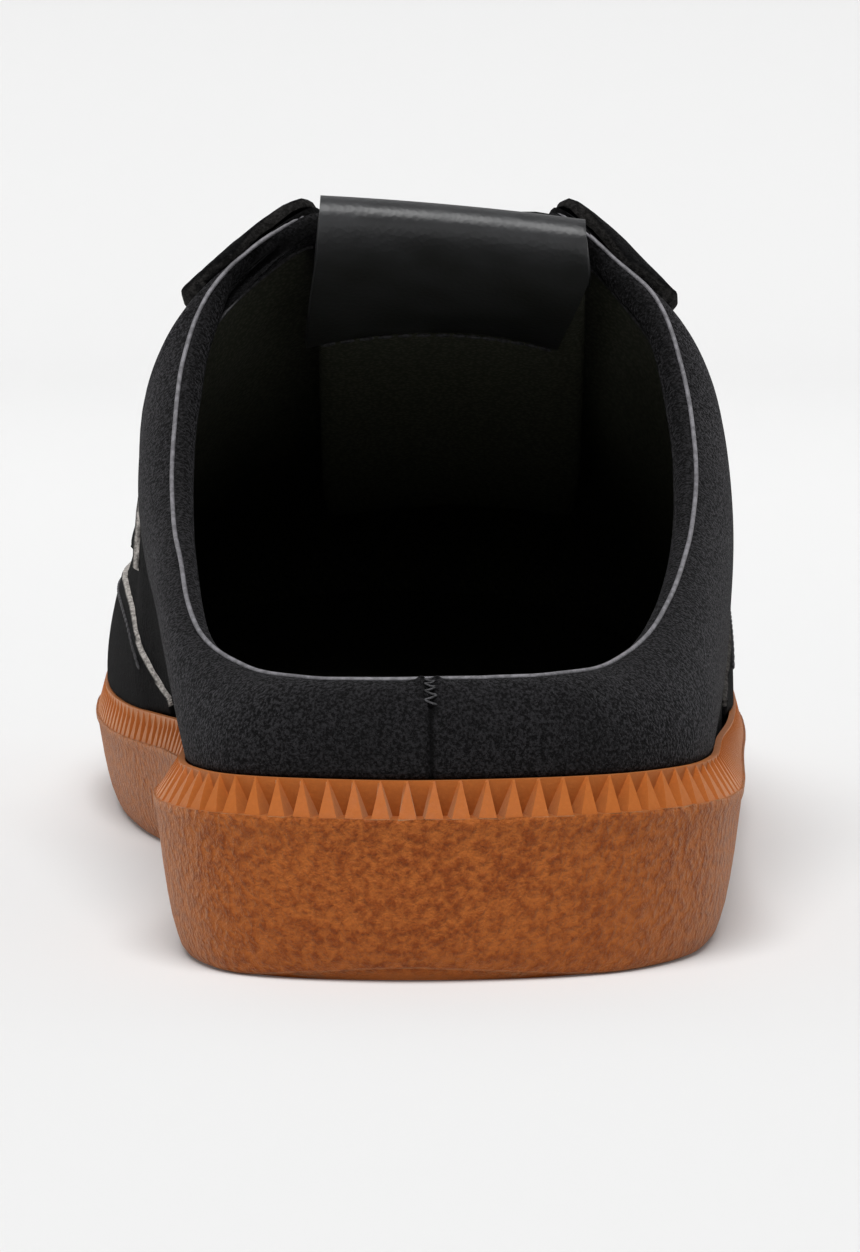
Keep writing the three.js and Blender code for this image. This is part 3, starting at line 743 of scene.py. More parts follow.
def smooth_leather(colours):
    """Semi-matt leather with a very fine grain."""
    finish = Finish("smooth_leather", colours.leather, 0.45, Specular_IOR_Level=0.6)
    pebbles = finish.cells(0.0007)
    drift = finish.noise(0.004, detail=4)
    finish.paint(finish.blend(
        finish.spread(drift, 0.3, 0.75), shade(colours.leather, 0.75), shade(colours.leather, 1.5),
    ))
    finish.rough(finish.spread(drift, 0.3, 0.7, 0.42, 0.5))
    finish.bump(pebbles, 0.00007, 0.5)
    finish.bump(drift, 0.0003, 0.2)
    return finish.material


def lining_textile(colours):
    """Matt knitted lining, black where the tag dark is one."""
    finish = Finish("lining_textile", colours.lining, 0.95, Specular_IOR_Level=0.15)
    knit = finish.cells(0.0006)
    drift = finish.noise(0.008, detail=3)
    cloth = finish.blend(
        finish.spread(knit, 0.1, 0.7), shade(colours.lining, 1.25), shade(colours.lining, 0.75),
    )
    finish.paint(finish.blend(finish.tag("dark"), cloth, shade(colours.microsuede, 0.5)))
    finish.rough(finish.spread(drift, 0.3, 0.7, 0.85, 1.0))
    finish.bump(knit, 0.00025, 0.6)
    finish.bump(drift, 0.0006, 0.3)
    return finish.material


def lace_weave(colours):
    """Flat woven lace: ribs that follow its own UV map."""
    finish = Finish("lace_weave", colours.lace, 0.85, Specular_IOR_Level=0.15, Sheen_Weight=0.04)
    uv = finish.node("ShaderNodeUVMap", uv_map="along").outputs["UV"]
    weave = finish.node("ShaderNodeTexChecker")
    weave.inputs["Scale"].default_value = 1.0
    finish.link(uv, weave.inputs["Vector"])
    finish.paint(finish.blend(weave.outputs["Fac"], shade(colours.lace, 0.6), shade(colours.lace, 2.2)))
    finish.bump(weave.outputs["Fac"], 0.0002, 0.7)
    return finish.material


def painted_highlight_fold(colours):
    """Folded edge, painted bright where it catches the light."""
    # Painted highlight: the fold's colour is many times that of the microsuede.
    finish = Finish("painted_highlight_fold", shade(colours.microsuede, 12), 0.6, Specular_IOR_Level=0.5)
    fibre = finish.noise(0.0008, detail=3, roughness=0.7)
    finish.paint(finish.blend(
        finish.spread(fibre, 0.35, 0.65), shade(colours.microsuede, 14), shade(colours.microsuede, 28),
    ))
    finish.bump(fibre, 0.0002, 0.6)
    return finish.material


def thread(colours):
    """Twisted dark sewing thread."""
    finish = Finish("thread", shade(colours.microsuede, 3), 0.6, Specular_IOR_Level=0.35)
    twist = finish.noise(0.0003, detail=2)
    finish.paint(finish.blend(
        finish.spread(twist, 0.35, 0.65), shade(colours.microsuede, 2), shade(colours.microsuede, 7),
    ))
    finish.bump(twist, 0.0001, 0.6)
    return finish.material


BACKDROP_TONE = 0.84  # the rising backdrop faces the light, so it is painted darker


def studio_ground(colours):
    """Plain pale floor that runs up into the backdrop."""
    # The floor glows faintly: painted light that lifts the shadows on it.
    finish = Finish("studio_ground", colours.ground, 0.9, Specular_IOR_Level=0.1, Emission_Strength=0.06)
    finish.shader.inputs["Emission Color"].default_value = (1, 1, 1, 1)
    axes = finish.node("ShaderNodeSeparateXYZ")
    finish.link(finish.place, axes.inputs["Vector"])
    back = finish.spread(axes.outputs["Y"], 0.5, 2.1)
    finish.paint(finish.blend(back, tuple(colours.ground), shade(colours.ground, BACKDROP_TONE)))
    return finish.material


def finish_of(context, maker):
    """The material made by one of the makers above, made once."""
    return bpy.data.materials.get(maker.__name__) or maker(context.scene.shoe_colours)


def shoe_piece(bm, context, name, maker, slot_name, *nodes, sharp_degrees=60, closed=True):
    """Finishes a bmesh as a piece of the shoe, with the maker's material."""
    piece = finish_mesh(bm, name, finish_of(context, maker), sharp_degrees, closed)
    return root_piece(piece, slot_name, *nodes)


# Sole

TOOTH_HALF = 0.345  # half the width of a tooth's foot, in pitches
TOOTH_APEX = 0.03  # width of its tip, in pitches
TOOTH_SIDE = 0.02  # run of a tooth's side wall, in pitches
LEDGE_INSET = 0.35 * MM  # tooth tips behind the sole's widest line
LEDGE_STEP = 0.05 * MM  # ledge above the side wall
TOOTH_ROWS = (1, 0.8, 0.6, 0.4, 0.2, 0.06)  # shares of the bevel's height, from the ledge up
SPINE_CLEAR = 0.08  # share of the length that the caps' middle line stays off each end
CAP_ROWS = (0, 0.35, 0.65, 0.85, 0.96)  # shares of the way from the middle line to the rim
RAGGED_EDGE = 0.93  # share of the side wall's height where its moulded edge gets ragged
RAGGED_WALL = 0.25 * MM
RAGGED_LEDGE = 0.22 * MM


class SNEAKER_OT_sole(bpy.types.Operator):
    """Gum cup sole with its serrated bevel, grained side wall and treaded walking face"""

    bl_idname = "sneaker.sole"
    bl_label = "Sole"

    def execute(self, context):
        last = last_of(context)
        s = last.sizes
        teeth = round(last.girth / s.tooth_pitch)
        profile = [("under", share) for share in CAP_ROWS]
        profile += [("side", k) for k in range(len(SIDE_WALL) - 1, -1, -1)]
        profile += [("ledge", 0)] + [("tooth", share) for share in TOOTH_ROWS]
        profile += [("top", 0), ("lip", 0), ("floor", 1)]
        profile += [("floor", share) for share in reversed(CAP_ROWS)]

        @lru_cache(maxsize=None)
        def middle_x(share):
            right = last.raw_outline(last.outline_share(share, True))
            left = last.raw_outline(last.outline_share(share, False))
            return (right.x + left.x) / 2

        def phase(corner, height):
            half = TOOTH_APEX / 2 + (TOOTH_HALF - TOOTH_APEX / 2) * height
            return (-half, half, half + TOOTH_SIDE, 1 - half - TOOTH_SIDE)[corner]

        @lru_cache(maxsize=None)
        def shift(tooth):
            spot, out = last.outline_at(last.share_of_arc(tooth / teeth))
            return -out.x * out.y * last.serration(last.along(spot.y)) / last.girth

        def cap(s_share, edge_inset, share, height_of):
            edge = last.drawn_in(s_share, edge_inset)
            along = last.along(edge.y)
            centre_share = round(min(max(along, SPINE_CLEAR), 1 - SPINE_CLEAR) * 50) / 50
            centre = Vector((middle_x(centre_share), last.y_at(centre_share)))
            flat = centre.lerp(edge, share)
            return Vector((flat.x, flat.y, height_of(last.along(flat.y))))

        def place(i, j):
            kind, value = profile[j]
            tooth, corner = divmod(i, 4)
            height = value if kind == "tooth" else (0 if kind in ("top", "lip", "floor") else 1)
            fraction = (tooth + phase(corner, height)) / teeth
            upright = 1 - value if kind == "tooth" else (0 if kind in ("side", "ledge", "under") else 1)
            at = last.share_of_arc(fraction + upright * shift(tooth))
            spot, _ = last.outline_at(at)
            share = last.along(spot.y)
            bevel = last.serration(share)
            ledge_z = last.top_z(share) - s.serration_height
            low = last.bottom_z(share)
            if kind == "under":
                return cap(at, SIDE_WALL[-1]["inset"] * s.side_taper, value, last.bottom_z), 0.0, 0.0, 1.0
            if kind == "floor":
                depth = s.cup_depth
                return cap(at, bevel + s.lip_width, value, lambda a: last.top_z(a) - depth), 0.0, 0.0
            if kind == "side":
                row = SIDE_WALL[value]
                flat = last.drawn_in(at, row["inset"] * s.side_taper)
                height = mix(low, ledge_z, row["up"])
                if row["up"] > RAGGED_EDGE:
                    height += noise.noise(Vector((*spot, 1)) / (1.7 * MM)) * RAGGED_WALL
                return Vector((flat.x, flat.y, height)), 1.0, 0.0
            if kind == "ledge":
                ragged = noise.noise(Vector((*spot, 0)) / (1.3 * MM)) * RAGGED_LEDGE
                flat = last.drawn_in(at, LEDGE_INSET * 0.4 - ragged)
                return Vector((flat.x, flat.y, ledge_z + LEDGE_STEP + ragged * 0.6)), 0.5, 0.0
            if kind == "tooth":
                on_face = corner < 2
                inset = mix(bevel, LEDGE_INSET, value) if on_face else bevel * (1 + 0.12 * value)
                flat = last.drawn_in(at, inset)
                height = mix(last.top_z(share), ledge_z + LEDGE_STEP, value)
                # The grooves between the teeth get painted shade, darkest at the ledge.
                return Vector((flat.x, flat.y, height)), 0.0, 0.0 if on_face else value
            inset = bevel if kind == "top" else bevel + s.lip_width
            flat = last.drawn_in(at, inset)
            return Vector((flat.x, flat.y, last.top_z(share))), 0.0, 0.0

        bm = bmesh.new()
        formed_grid(bm, 4 * teeth, len(profile) - 1, place, ("grain", "painted_groove_shade", "tread"))
        shoe_piece(bm, context, "cup_sole", gum_rubber, "gum", "sole", sharp_degrees=28)
        return {"FINISHED"}


# Upper

RIB_LINES = 8  # columns of a piece from one rib to the next
EDGE_LINES = (0.0, 0.12, 0.35, 0.8, 1.6)  # millimetres from a cut edge where columns and rows run
EDGE_ROUND = 0.5 * MM
RIB_RUN = 14 * MM  # about, from one rib of the upper to the next
WALL_STEPS = (-1, -0.5, 0, *(k / 24 for k in range(1, 24)), 0.98, 1)
SEAM_RIB = 0.07  # rib number round which the columns gather for the heel seam
SEAM_LINES = (0.02, 0.045, 0.08, 0.13, 0.2, 0.3)  # how far from it, in rib numbers
SEAM_RIB_RUN = 12.5 * MM  # from one rib to the next beside the heel seam
SEAM_RIB_LOW = 0.25  # rib number of the heel seam at the sole
SEAM_RIB_HIGH = 0.115  # and at the collar edge
PAD_HEIGHT = 0.95 * MM
PAD_RIBS = (3.5, 7)  # ribs over which the collar's foam rises
PAD_SINK = 1.9 * MM
PAD_SINK_RIBS = (8.3, 10)  # ribs over which the collar then sinks under the eyestay
BAND_FADE = (8.6, 9.6)  # ribs over which the quarters come up beside the band's end
FRAY_CLUMP = 1.6 * MM
FRAY_FIBRE = 0.7 * MM


def cut_lines(low, high, per_unit, spacing):
    """Column places from low to high, closer beside the two cut edges."""
    count = max(2, round((high - low) / spacing))
    inner = [mix(low, high, k / count) for k in range(count + 1)]
    near = [low + d * MM / per_unit for d in EDGE_LINES]
    far = [high - d * MM / per_unit for d in reversed(EDGE_LINES)]
    middle = [x for x in inner if near[-1] + spacing * 0.3 < x < far[0] - spacing * 0.3]
    return near + middle + far


def seam_rib(step):
    """Rib number of the heel seam at a step, so that the seam stands upright."""
    return mix(SEAM_RIB_LOW, SEAM_RIB_HIGH, min(max(step, 0), 1))


def seam_away(rib, step):
    """Metres from the heel seam."""
    return (rib - seam_rib(step)) * SEAM_RIB_RUN


def padding(rib_back):
    """Foam under the collar, thickest beside the ankle, less the sink under the eyestay."""
    return PAD_HEIGHT * smooth_step(*PAD_RIBS, rib_back) - PAD_SINK * smooth_step(*PAD_SINK_RIBS, rib_back)


def edge_rise(distance, radius=EDGE_ROUND):
    """Share of the full thickness at a distance from a cut edge."""
    x = min(max(distance / radius, 0.0), 1.0)
    return math.sqrt(max(0.0, 1 - (1 - x) ** 2))


def make_overlay(
    context, name, edges, ribs, thickness, lift_of, raw_of, material, slot_name, *nodes,
    swell=None, fray=0.0, painted_shade_of=None,
):
    """A cut piece on the upper's surface, from one rib to another, with its raw edges tagged."""
    last = last_of(context)
    first, final = ribs
    seamed = first < SEAM_RIB < final
    columns = cut_lines(first, final, RIB_RUN, 1 / RIB_LINES)
    if seamed:
        close = [SEAM_RIB + side * d for side in (-1, 1) for d in SEAM_LINES]
        columns = [c for c in columns if abs(c - SEAM_RIB) > SEAM_LINES[-1] * 1.2]
        columns = sorted(columns + [SEAM_RIB] + close)
    row_count = 40 if seamed else 16
    shares = [0, 0.004, 0.012, 0.03, 0.07] + [k / row_count for k in range(2, row_count - 1)]
    shares += [0.93, 0.97, 0.988, 0.996, 1]

    @lru_cache(maxsize=None)
    def limits(rib):
        back = last.from_back(rib)
        return read_table(edges, "rib", back, "low"), read_table(edges, "rib", back, "high")

    rows = len(shares)
    loop = list(range(rows)) + list(range(rows - 2, -1, -1))

    def place(i, j):
        rib = columns[i]
        outside = j < rows
        share = shares[loop[j]]
        low, high = limits(rib)
        step = mix(low, high, share)
        if seamed:
            rib += (seam_rib(step) - SEAM_RIB) * math.exp(-(((rib - SEAM_RIB) / 0.9) ** 2))
        length = last.rib_length(round(columns[i], 3))
        across = min(share, 1 - share) * (high - low) * length
        ends = min(columns[i] - first, final - columns[i]) * RIB_RUN
        rise = edge_rise(across) * edge_rise(ends)
        distance = lift_of(rib)
        if outside:
            distance += rise * thickness
            if swell:
                distance += rise * swell(rib, step)
        raw = raw_of(rib, share) if outside and rise < 0.9 else 0.0
        point = last.offset(rib, step, distance)
        if fray:
            ragged = noise.noise(point / FRAY_CLUMP) + 0.6 * noise.noise(point / FRAY_FIBRE)
            loose = 1 - smooth_step(0, FRAY_CLUMP, min(across, ends))
            if outside or rise == 0:
                point += last.normal(rib, step) * ragged * fray * (0.25 + 0.75 * loose)
            point.z -= abs(ragged) * fray * loose * 1.2
        # The last value is painted shade, for pieces that give it.
        return point, raw, painted_shade_of(rib, step) if painted_shade_of and outside else 0.0

    bm = bmesh.new()
    formed_grid(bm, len(columns) - 1, len(loop) - 1, place, ("raw", "dark"))
    return shoe_piece(bm, context, name, material, slot_name, *nodes)


def make_wall(context, name, outer, inner, material, slot_name, *nodes, swell=None, binding=None):
    """A closed wall round the whole last between two distances from its surface."""
    last = last_of(context)
    columns = last.rib_count * RIB_LINES
    rows = len(WALL_STEPS)
    loop = list(range(rows)) + list(range(rows - 1, -1, -1)) + [0]

    def place(i, j):
        rib = i / RIB_LINES
        step = WALL_STEPS[loop[j]]
        outside = j < rows or j == len(loop) - 1
        distance = outer if outside else inner
        if swell and outside:
            distance += swell(rib, step)
        dark = smooth_step(*binding, step) if binding else 0.0
        return last.offset(rib % last.rib_count, step, distance), dark

    bm = bmesh.new()
    formed_grid(bm, columns, len(loop) - 1, place, ("dark",))
    return shoe_piece(bm, context, name, material, slot_name, *nodes)


LINING_THICKNESS = 0.9 * MM
LINING_BINDING = (0.91, 0.95)  # steps over which the lining turns into its black binding
QUARTER_INSET = 0.6 * MM  # the quarters under what covers them, for most of the shoe
# Soft walking creases over the ball: share of the length, depth in millimetres, lean
CREASES = ((0.655, 0.35, 0.02), (0.695, 0.55, -0.01), (0.73, 0.4, 0.015))
CREASE_HALF = 0.0065  # half the width of a crease, as a share of the length


def crease(last, rib, step):
    """Soft troughs across the vamp where the foot bends."""
    if not 0.15 < step < 0.8:
        return 0.0
    place = last.shell(rib, step)
    along = last.along(place.y)
    fade = smooth_step(0.15, 0.4, step) * (1 - smooth_step(0.65, 0.8, step))
    side = 1 if place.x > 0 else -1
    total = 0.0
    for middle, depth, lean in CREASES:
        away = (along - middle - lean * side * (step - 0.4)) / CREASE_HALF
        total -= depth * MM * math.exp(-away * away) * fade
    return total


class SNEAKER_OT_upper(bpy.types.Operator):
    """Suede quarters and vamp, and the lining glued to their inside"""

    bl_idname = "sneaker.upper"
    bl_label = "Upper and lining"

    def execute(self, context):
        last = last_of(context)
        wall = last.sizes.wall
        layer = LINING_THICKNESS - wall

        def fill(rib, step):
            back = last.from_back(rib)
            return QUARTER_INSET * smooth_step(*BAND_FADE, back) + crease(last, rib, step)

        make_wall(
            context, "quarters_and_vamp", -QUARTER_INSET, layer, napped_suede, "suede", "upper", swell=fill,
        )
        make_wall(context, "lining", layer, -wall, lining_textile, "lining", binding=LINING_BINDING)
        return {"FINISHED"}


BASE_LIFT = -0.55 * MM  # inner face of the layers that lie on the quarters
BAND_THICKNESS = 0.75 * MM
BAND_END = 9.2  # rib where the heel band ends, on both sides
SEAM_GROOVE = 0.55 * MM
SEAM_GROOVE_HALF = 0.5 * MM
SEAM_RIDGE = 0.25 * MM
SEAM_RIDGE_AT = 1.5 * MM  # to each side of the seam
SEAM_RIDGE_HALF = 0.8 * MM
PUCKER = 0.4 * MM
PUCKER_REACH = 2.2 * MM
PUCKER_WAVES = 75  # radians along the seam, from the sole to the collar edge


class SNEAKER_OT_heel_band(bpy.types.Operator):
    """Microsuede band round the heel, folded over the collar edge, with its sewn heel seam and painted
    shade in the seam's groove
    """

    bl_idname = "sneaker.heel_band"
    bl_label = "Heel band"

    def execute(self, context):
        last = last_of(context)

        def swell(rib, step):
            away = seam_away(rib, step)
            groove = -SEAM_GROOVE * math.exp(-((away / SEAM_GROOVE_HALF) ** 2))
            ridge = SEAM_RIDGE * math.exp(-(((abs(away) - SEAM_RIDGE_AT) / SEAM_RIDGE_HALF) ** 2))
            top = smooth_step(0.45, 0.85, step)
            pucker = PUCKER * top * math.exp(-((away / PUCKER_REACH) ** 2)) * math.sin(step * PUCKER_WAVES)
            pad = max(padding(last.from_back(rib)), 0) * smooth_step(0.25, 0.75, step)
            return groove * (0.8 + 0.5 * top) + ridge * (0.4 + top) + pucker + pad

        # Painted shade along the heel seam's groove, carried by the tag dark.
        def seam_dark(rib, step):
            return math.exp(-((seam_away(rib, step) / SEAM_GROOVE_HALF) ** 2))

        make_overlay(
            context, "heel_cover", HEEL_BAND_EDGE, (-BAND_END, BAND_END), BAND_THICKNESS,
            lambda rib: BASE_LIFT, lambda rib, share: 0.0, speckled_microsuede, "microsuede", "heel_band",
            swell=swell, painted_shade_of=seam_dark,
        )
        return {"FINISHED"}


EYESTAY_START = 9.02  # ribs where the overlays start, counted from the back
FOXING_START = 8.2
SIDE_STAY_RIBS = (9.45, 13.3)
SIDE_STAY_RAW = 9.95  # up to this rib, the inner side stay's lower edge shows pale fibre
FOXING_THICKNESS = 0.7 * MM
SIDE_STAY_THICKNESS = 0.9 * MM
FLARE = 0.9 * MM  # how far the eyestay's rear corners stand off
FLARE_RIB = 9.6  # where they lie flat again
OVER_BAND = 0.6 * MM  # the eyestay off the quarters, where it covers the heel band
OVER_BAND_RIBS = (9.8, 11.5)  # ribs over which it comes down
EYESTAY_LIFT = 0.35 * MM  # from the quarters' surface to the top of the eyestay, less its thickness
EYESTAY_FRAY = 0.28 * MM
EDGE_FRAY = 0.12 * MM
LAY = 0.05 * MM  # from the quarters' surface to what lies on it


class SNEAKER_OT_overlays(bpy.types.Operator):
    """Suede eyestay, side stays and toe foxing, with pale fibre where their cut edges show it"""

    bl_idname = "sneaker.overlays"
    bl_label = "Suede overlays"

    def execute(self, context):
        last = last_of(context)
        ends = last.rib_count

        def flare(rib, step):
            back = last.from_back(rib)
            ends_at = 1 - smooth_step(EYESTAY_START, FLARE_RIB, back)
            return FLARE * ends_at * (1 - smooth_step(0.8, 0.95, step))

        def over_band(rib):
            return mix(OVER_BAND, LAY, smooth_step(*OVER_BAND_RIBS, last.from_back(rib)))

        def over_quarter(rib):
            return mix(BASE_LIFT, LAY, smooth_step(*BAND_FADE, last.from_back(rib)))

        def foxing_raw(rib, share):
            if share <= 0.5:
                return 0.0
            return 1.0 if rib > last.toe_rib else 0.15

        def stay_raw(rib, share):
            return 1.0 if share < 0.5 and rib > ends - SIDE_STAY_RAW else 0.08

        make_overlay(
            context, "eyestay_cover", EYESTAY_EDGE, (EYESTAY_START, ends - EYESTAY_START),
            last.sizes.overlay_thickness + EYESTAY_LIFT - LAY, over_band, lambda rib, share: 0.03,
            napped_suede, "suede", "eyestay", swell=flare, fray=EYESTAY_FRAY,
        )
        make_overlay(
            context, "toe_cover", FOXING_EDGE, (FOXING_START, ends - FOXING_START), FOXING_THICKNESS,
            over_quarter, foxing_raw, napped_suede, "suede", "toe_foxing", fray=EDGE_FRAY,
        )
        first, final = SIDE_STAY_RIBS
        stays = {"outer_side_stay": (first, final), "inner_side_stay": (ends - final, ends - first)}
        for name, ribs in stays.items():
            make_overlay(
                context, name, SIDE_STAY_EDGE, ribs, SIDE_STAY_THICKNESS, lambda rib: LAY, stay_raw,
                napped_suede, "suede", fray=EDGE_FRAY,
            )
        return {"FINISHED"}


# Tongue

TONGUE_SHIFT = 1.1 * MM  # middle of the tongue, to the outer side of the heel's middle
TONGUE_TILT = math.radians(5.2)  # how far its top edge drops to the outer side
TAB_FRONT = 26 * MM  # leather down the tongue's front
TAB_BEND = 9 * MM  # over which the leather bends from the top to the back
TAB_BACK = 27 * MM
TAB_LENGTH = 96 * MM  # run of leather that matches the whole tongue
TAB_MARGIN = 0.9 * MM  # leather past each side of the tongue
TAB_EASE = 0.2 * MM  # room for the bend, besides the clearance
TAB_CROWN = 0.62  # height of the bend over the top, in its radii
TAB_WAVE = 0.4 * MM  # how far the hanging leather curls at its sides
TAB_WAVE_RUN = 7 * MM
TAB_TAPER = {"outer": 0.24, "inner": -0.04}  # how much of each side is gone at the tab's end


def tongue_point(last, share, side, depth, extra=0.0, grow=0.0):
    """A place on the tongue: share of its length, side from -1 to 1, depth along its outward normal."""
    s = last.sizes
    rows = len(TONGUE_PATH) - 1

    def read(name, at):
        return catmull([row[name] for row in TONGUE_PATH], at * rows, False)

    def middle(at):
        return Vector((
            TONGUE_SHIFT - last.centre.x,
            last.y_at(read("at", at)),
            s.heel_height + read("up", at) * (s.instep_height - s.heel_height),
        ))

    along = (middle(min(share + 0.02, 1)) - middle(max(share - 0.02, 0))).normalized()
    out = Vector((0, along.z, -along.y))
    half = s.tongue_width / 2 * read("width", share) + grow
    roll = math.tan(TONGUE_TILT) * smooth_step(0.5, 1, share)
    bow = read("bow", share) * half * side * side
    sideways = Vector((side * half, 0, -roll * side * half))
    return middle(share) + along * extra + out * (depth - bow) + sideways


def tab_fold(sizes):
    """Radius of the tab's bend over the tongue's top."""
    return sizes.tongue_thickness / 2 + sizes.clearance + TAB_EASE


def tab_point(last, side, at, lift=0.0):
    """A place on the tab, whose leather runs up the tongue's front, over its top and down its back."""
    s = last.sizes
    fold = tab_fold(s)
    middle = -s.tongue_thickness / 2
    down = at - TAB_FRONT - math.pi * fold
    if at < TAB_FRONT:
        share = 1 - (TAB_FRONT - at) / TAB_LENGTH
        return tongue_point(last, share, side, middle + fold + lift, 0.0, TAB_MARGIN)
    if down < 0:
        angle = (at - TAB_FRONT) / fold
        drop = TAB_BEND * (1 - math.sin(angle)) if angle > math.pi / 2 else 0
        depth = middle + (fold + lift) * math.cos(angle)
        rise = (fold + lift) * math.sin(angle) * TAB_CROWN
        return tongue_point(last, 1 - drop / TAB_LENGTH, side, depth, rise, TAB_MARGIN)
    depth = middle - fold - lift
    depth -= TAB_WAVE * math.sin(down / TAB_WAVE_RUN) * side * smooth_step(0, TAB_BACK, down)
    down *= 1 + 0.05 * side + 0.08 * side * side
    side *= 1 - TAB_TAPER["outer" if side > 0 else "inner"] * max(down - 2 * MM, 0) / TAB_BACK
    return tongue_point(last, 1 - (TAB_BEND + down) / TAB_LENGTH, side, depth, 0.0, TAB_MARGIN)


class SNEAKER_OT_tongue(bpy.types.Operator):
    """Padded tongue and the leather tab folded over its top"""

    bl_idname = "sneaker.tongue"
    bl_label = "Tongue and tab"

    def execute(self, context):
        last = last_of(context)
        s = last.sizes
        around = 40
        stations = 60

        def section(turn):
            angle = 2 * math.pi * turn / around
            side = math.copysign(abs(math.cos(angle)) ** 0.35, math.cos(angle))
            rise = math.copysign(abs(math.sin(angle)) ** 0.6, math.sin(angle))
            return side, rise

        def pad(i, j):
            side, rise = section(i)
            share = j / stations
            closing = edge_rise(min(share, 1 - share) * 90 * MM, 2.2 * MM)
            thin = 1 - 0.55 * smooth_step(0.84, 0.96, share)
            depth = -s.tongue_thickness / 2 + rise * s.tongue_thickness / 2 * closing * thin
            return (tongue_point(last, share, side * (0.97 + 0.03 * closing), depth),)

        bm = bmesh.new()
        formed_grid(bm, around, stations, pad)
        tongue = shoe_piece(bm, context, "tongue_pad", napped_suede, "suede", "tongue", sharp_degrees=70)
        tongue.data.materials.append(finish_of(context, lining_textile))
        for face in tongue.data.polygons:
            face.material_index = 1 if face.normal.y < 0.1 and face.normal.z < 0.2 else 0

        run = TAB_FRONT + TAB_BACK + math.pi * tab_fold(s)
        columns, rows = 24, 144
        bm = bmesh.new()
        formed_grid(bm, columns, rows, lambda i, j: (tab_point(last, 2 * i / columns - 1, run * j / rows),))
        tab = shoe_piece(bm, context, "leather_tab", smooth_leather, "leather", "tongue_tab", closed=False)
        solid = tab.modifiers.new("leather", "SOLIDIFY")
        solid.thickness = s.tab_thickness
        solid.offset = 1
        edge = tab.modifiers.new("edge", "BEVEL")
        edge.width = 0.25 * MM
        edge.segments = 2
        return {"FINISHED"}


INSOLE_CUP = 1.2 * MM  # how far its rim rises
INSOLE_ROUND = 0.8 * MM  # rounding of its upper edge


class SNEAKER_OT_insole(bpy.types.Operator):
    """Insole on the floor of the cup"""

    bl_idname = "sneaker.insole"
    bl_label = "Insole"

    def execute(self, context):
        last = last_of(context)
        s = last.sizes
        profile = [("low", share) for share in CAP_ROWS + (1,)]
        profile += [("high", share) for share in (1, 0.97, 0.9, 0.75, 0.5, 0.25, 0)]
        rib_lines = 6

        def place(i, j):
            kind, share = profile[j]
            rib = i / rib_lines % last.rib_count
            edge = last.offset(rib, -1, -s.wall - s.clearance)
            along = round(min(max(last.along(edge.y), 0.1), 0.9) * 40) / 40
            centre = Vector((0, last.y_at(along), 0))
            flat = centre.lerp(edge, share)
            height = last.top_z(last.along(flat.y)) - s.cup_depth + s.clearance
            if kind == "high":
                cup = INSOLE_CUP * smooth_step(0.7, 1, share) - INSOLE_ROUND * (1 if share == 1 else 0)
                height += s.insole_thickness - INSOLE_CUP / 2 + cup
            return (Vector((flat.x, flat.y, height)),)

        bm = bmesh.new()
        formed_grid(bm, last.rib_count * rib_lines, len(profile) - 1, place)
        shoe_piece(bm, context, "insole_board", lining_textile, "lining", "insole", sharp_degrees=50)
        return {"FINISHED"}


# Trim


def tube_along(bm, points, radius, sides=6, closed=False):
    """A round tube through points, drawn together at its open ends."""
    count = len(points)

    def place(i, j):
        k = j % count if closed else min(j, count - 1)
        before = points[(k - 1) % count] if closed else points[max(k - 1, 0)]
        after = points[(k + 1) % count] if closed else points[min(k + 1, count - 1)]
        along = (after - before).normalized()
        side = along.cross(Vector((0.3, 0.2, 1))).normalized()
        up = side.cross(along)
        angle = 2 * math.pi * i / sides
        size = 0 if not closed and k in (0, count - 1) else radius
        return (points[k] + (side * math.cos(angle) + up * math.sin(angle)) * size,)

    formed_grid(bm, sides, count if closed else count - 1, place)


# Padded roll over the collar edge: millimetres off the last's surface, and past its edge along the rib
COLLAR_ROLL = (
    (0.05, -0.5), (0.02, 0.25), (-0.35, 0.95), (-1.05, 1.45), (-1.9, 1.45), (-2.6, 0.85), (-2.95, -0.3),
    (-3.0, -2.2), (-3.3, -6.0), (-3.2, -9.6), (-2.15, -10.2), (-2.1, -6.0), (-2.1, -1.6), (-1.2, -0.6),
)
COLLAR_END = 10.7  # rib in the throat, past its corner
FACING_DEPTH = 9.0 * MM  # from the collar edge down to the seam of the facing
FACING_SWELL = 0.5 * MM  # how much thicker the facing is in the collar's upper corners
FACING_SEAM_RIBS = (8.2, 10.3)
FACING_THREAD = 0.25 * MM
FACING_SEAM_LIFT = -3.5 * MM - FACING_SWELL
FOLD_RADIUS = 0.3 * MM
FOLD_WAVE = 0.22 * MM
FOLD_LIFT = 0.22 * MM
FOLD_TUCK = 0.25 * MM  # how far the fold draws back under the eyestay
ROLL_SLIM = 0.75  # how much of the roll's height is gone under the eyestay
ROLL_SLIM_RIBS = (8.8, 9.6)
ROLL_WAVE = 0.15 * MM


def facing_share(rib_back):
    """Share of its depth that the facing has, less past the throat's corner."""
    return 1 - 0.7 * smooth_step(9.6, 10.5, rib_back)


def down_from_edge(last, rib, distance):
    """Step along a rib at a distance below its edge."""
    return 1 - distance / last.rib_length(round(rib % last.rib_count, 3))


def edge_frame(last, rib):
    """Edge of a rib, the outward normal there and the direction past the edge."""
    normal = last.normal(rib, 1)
    past = (last.shell(rib, 1) - last.shell(rib, 0.98)).normalized()
    return last.shell(rib, 1), normal, past


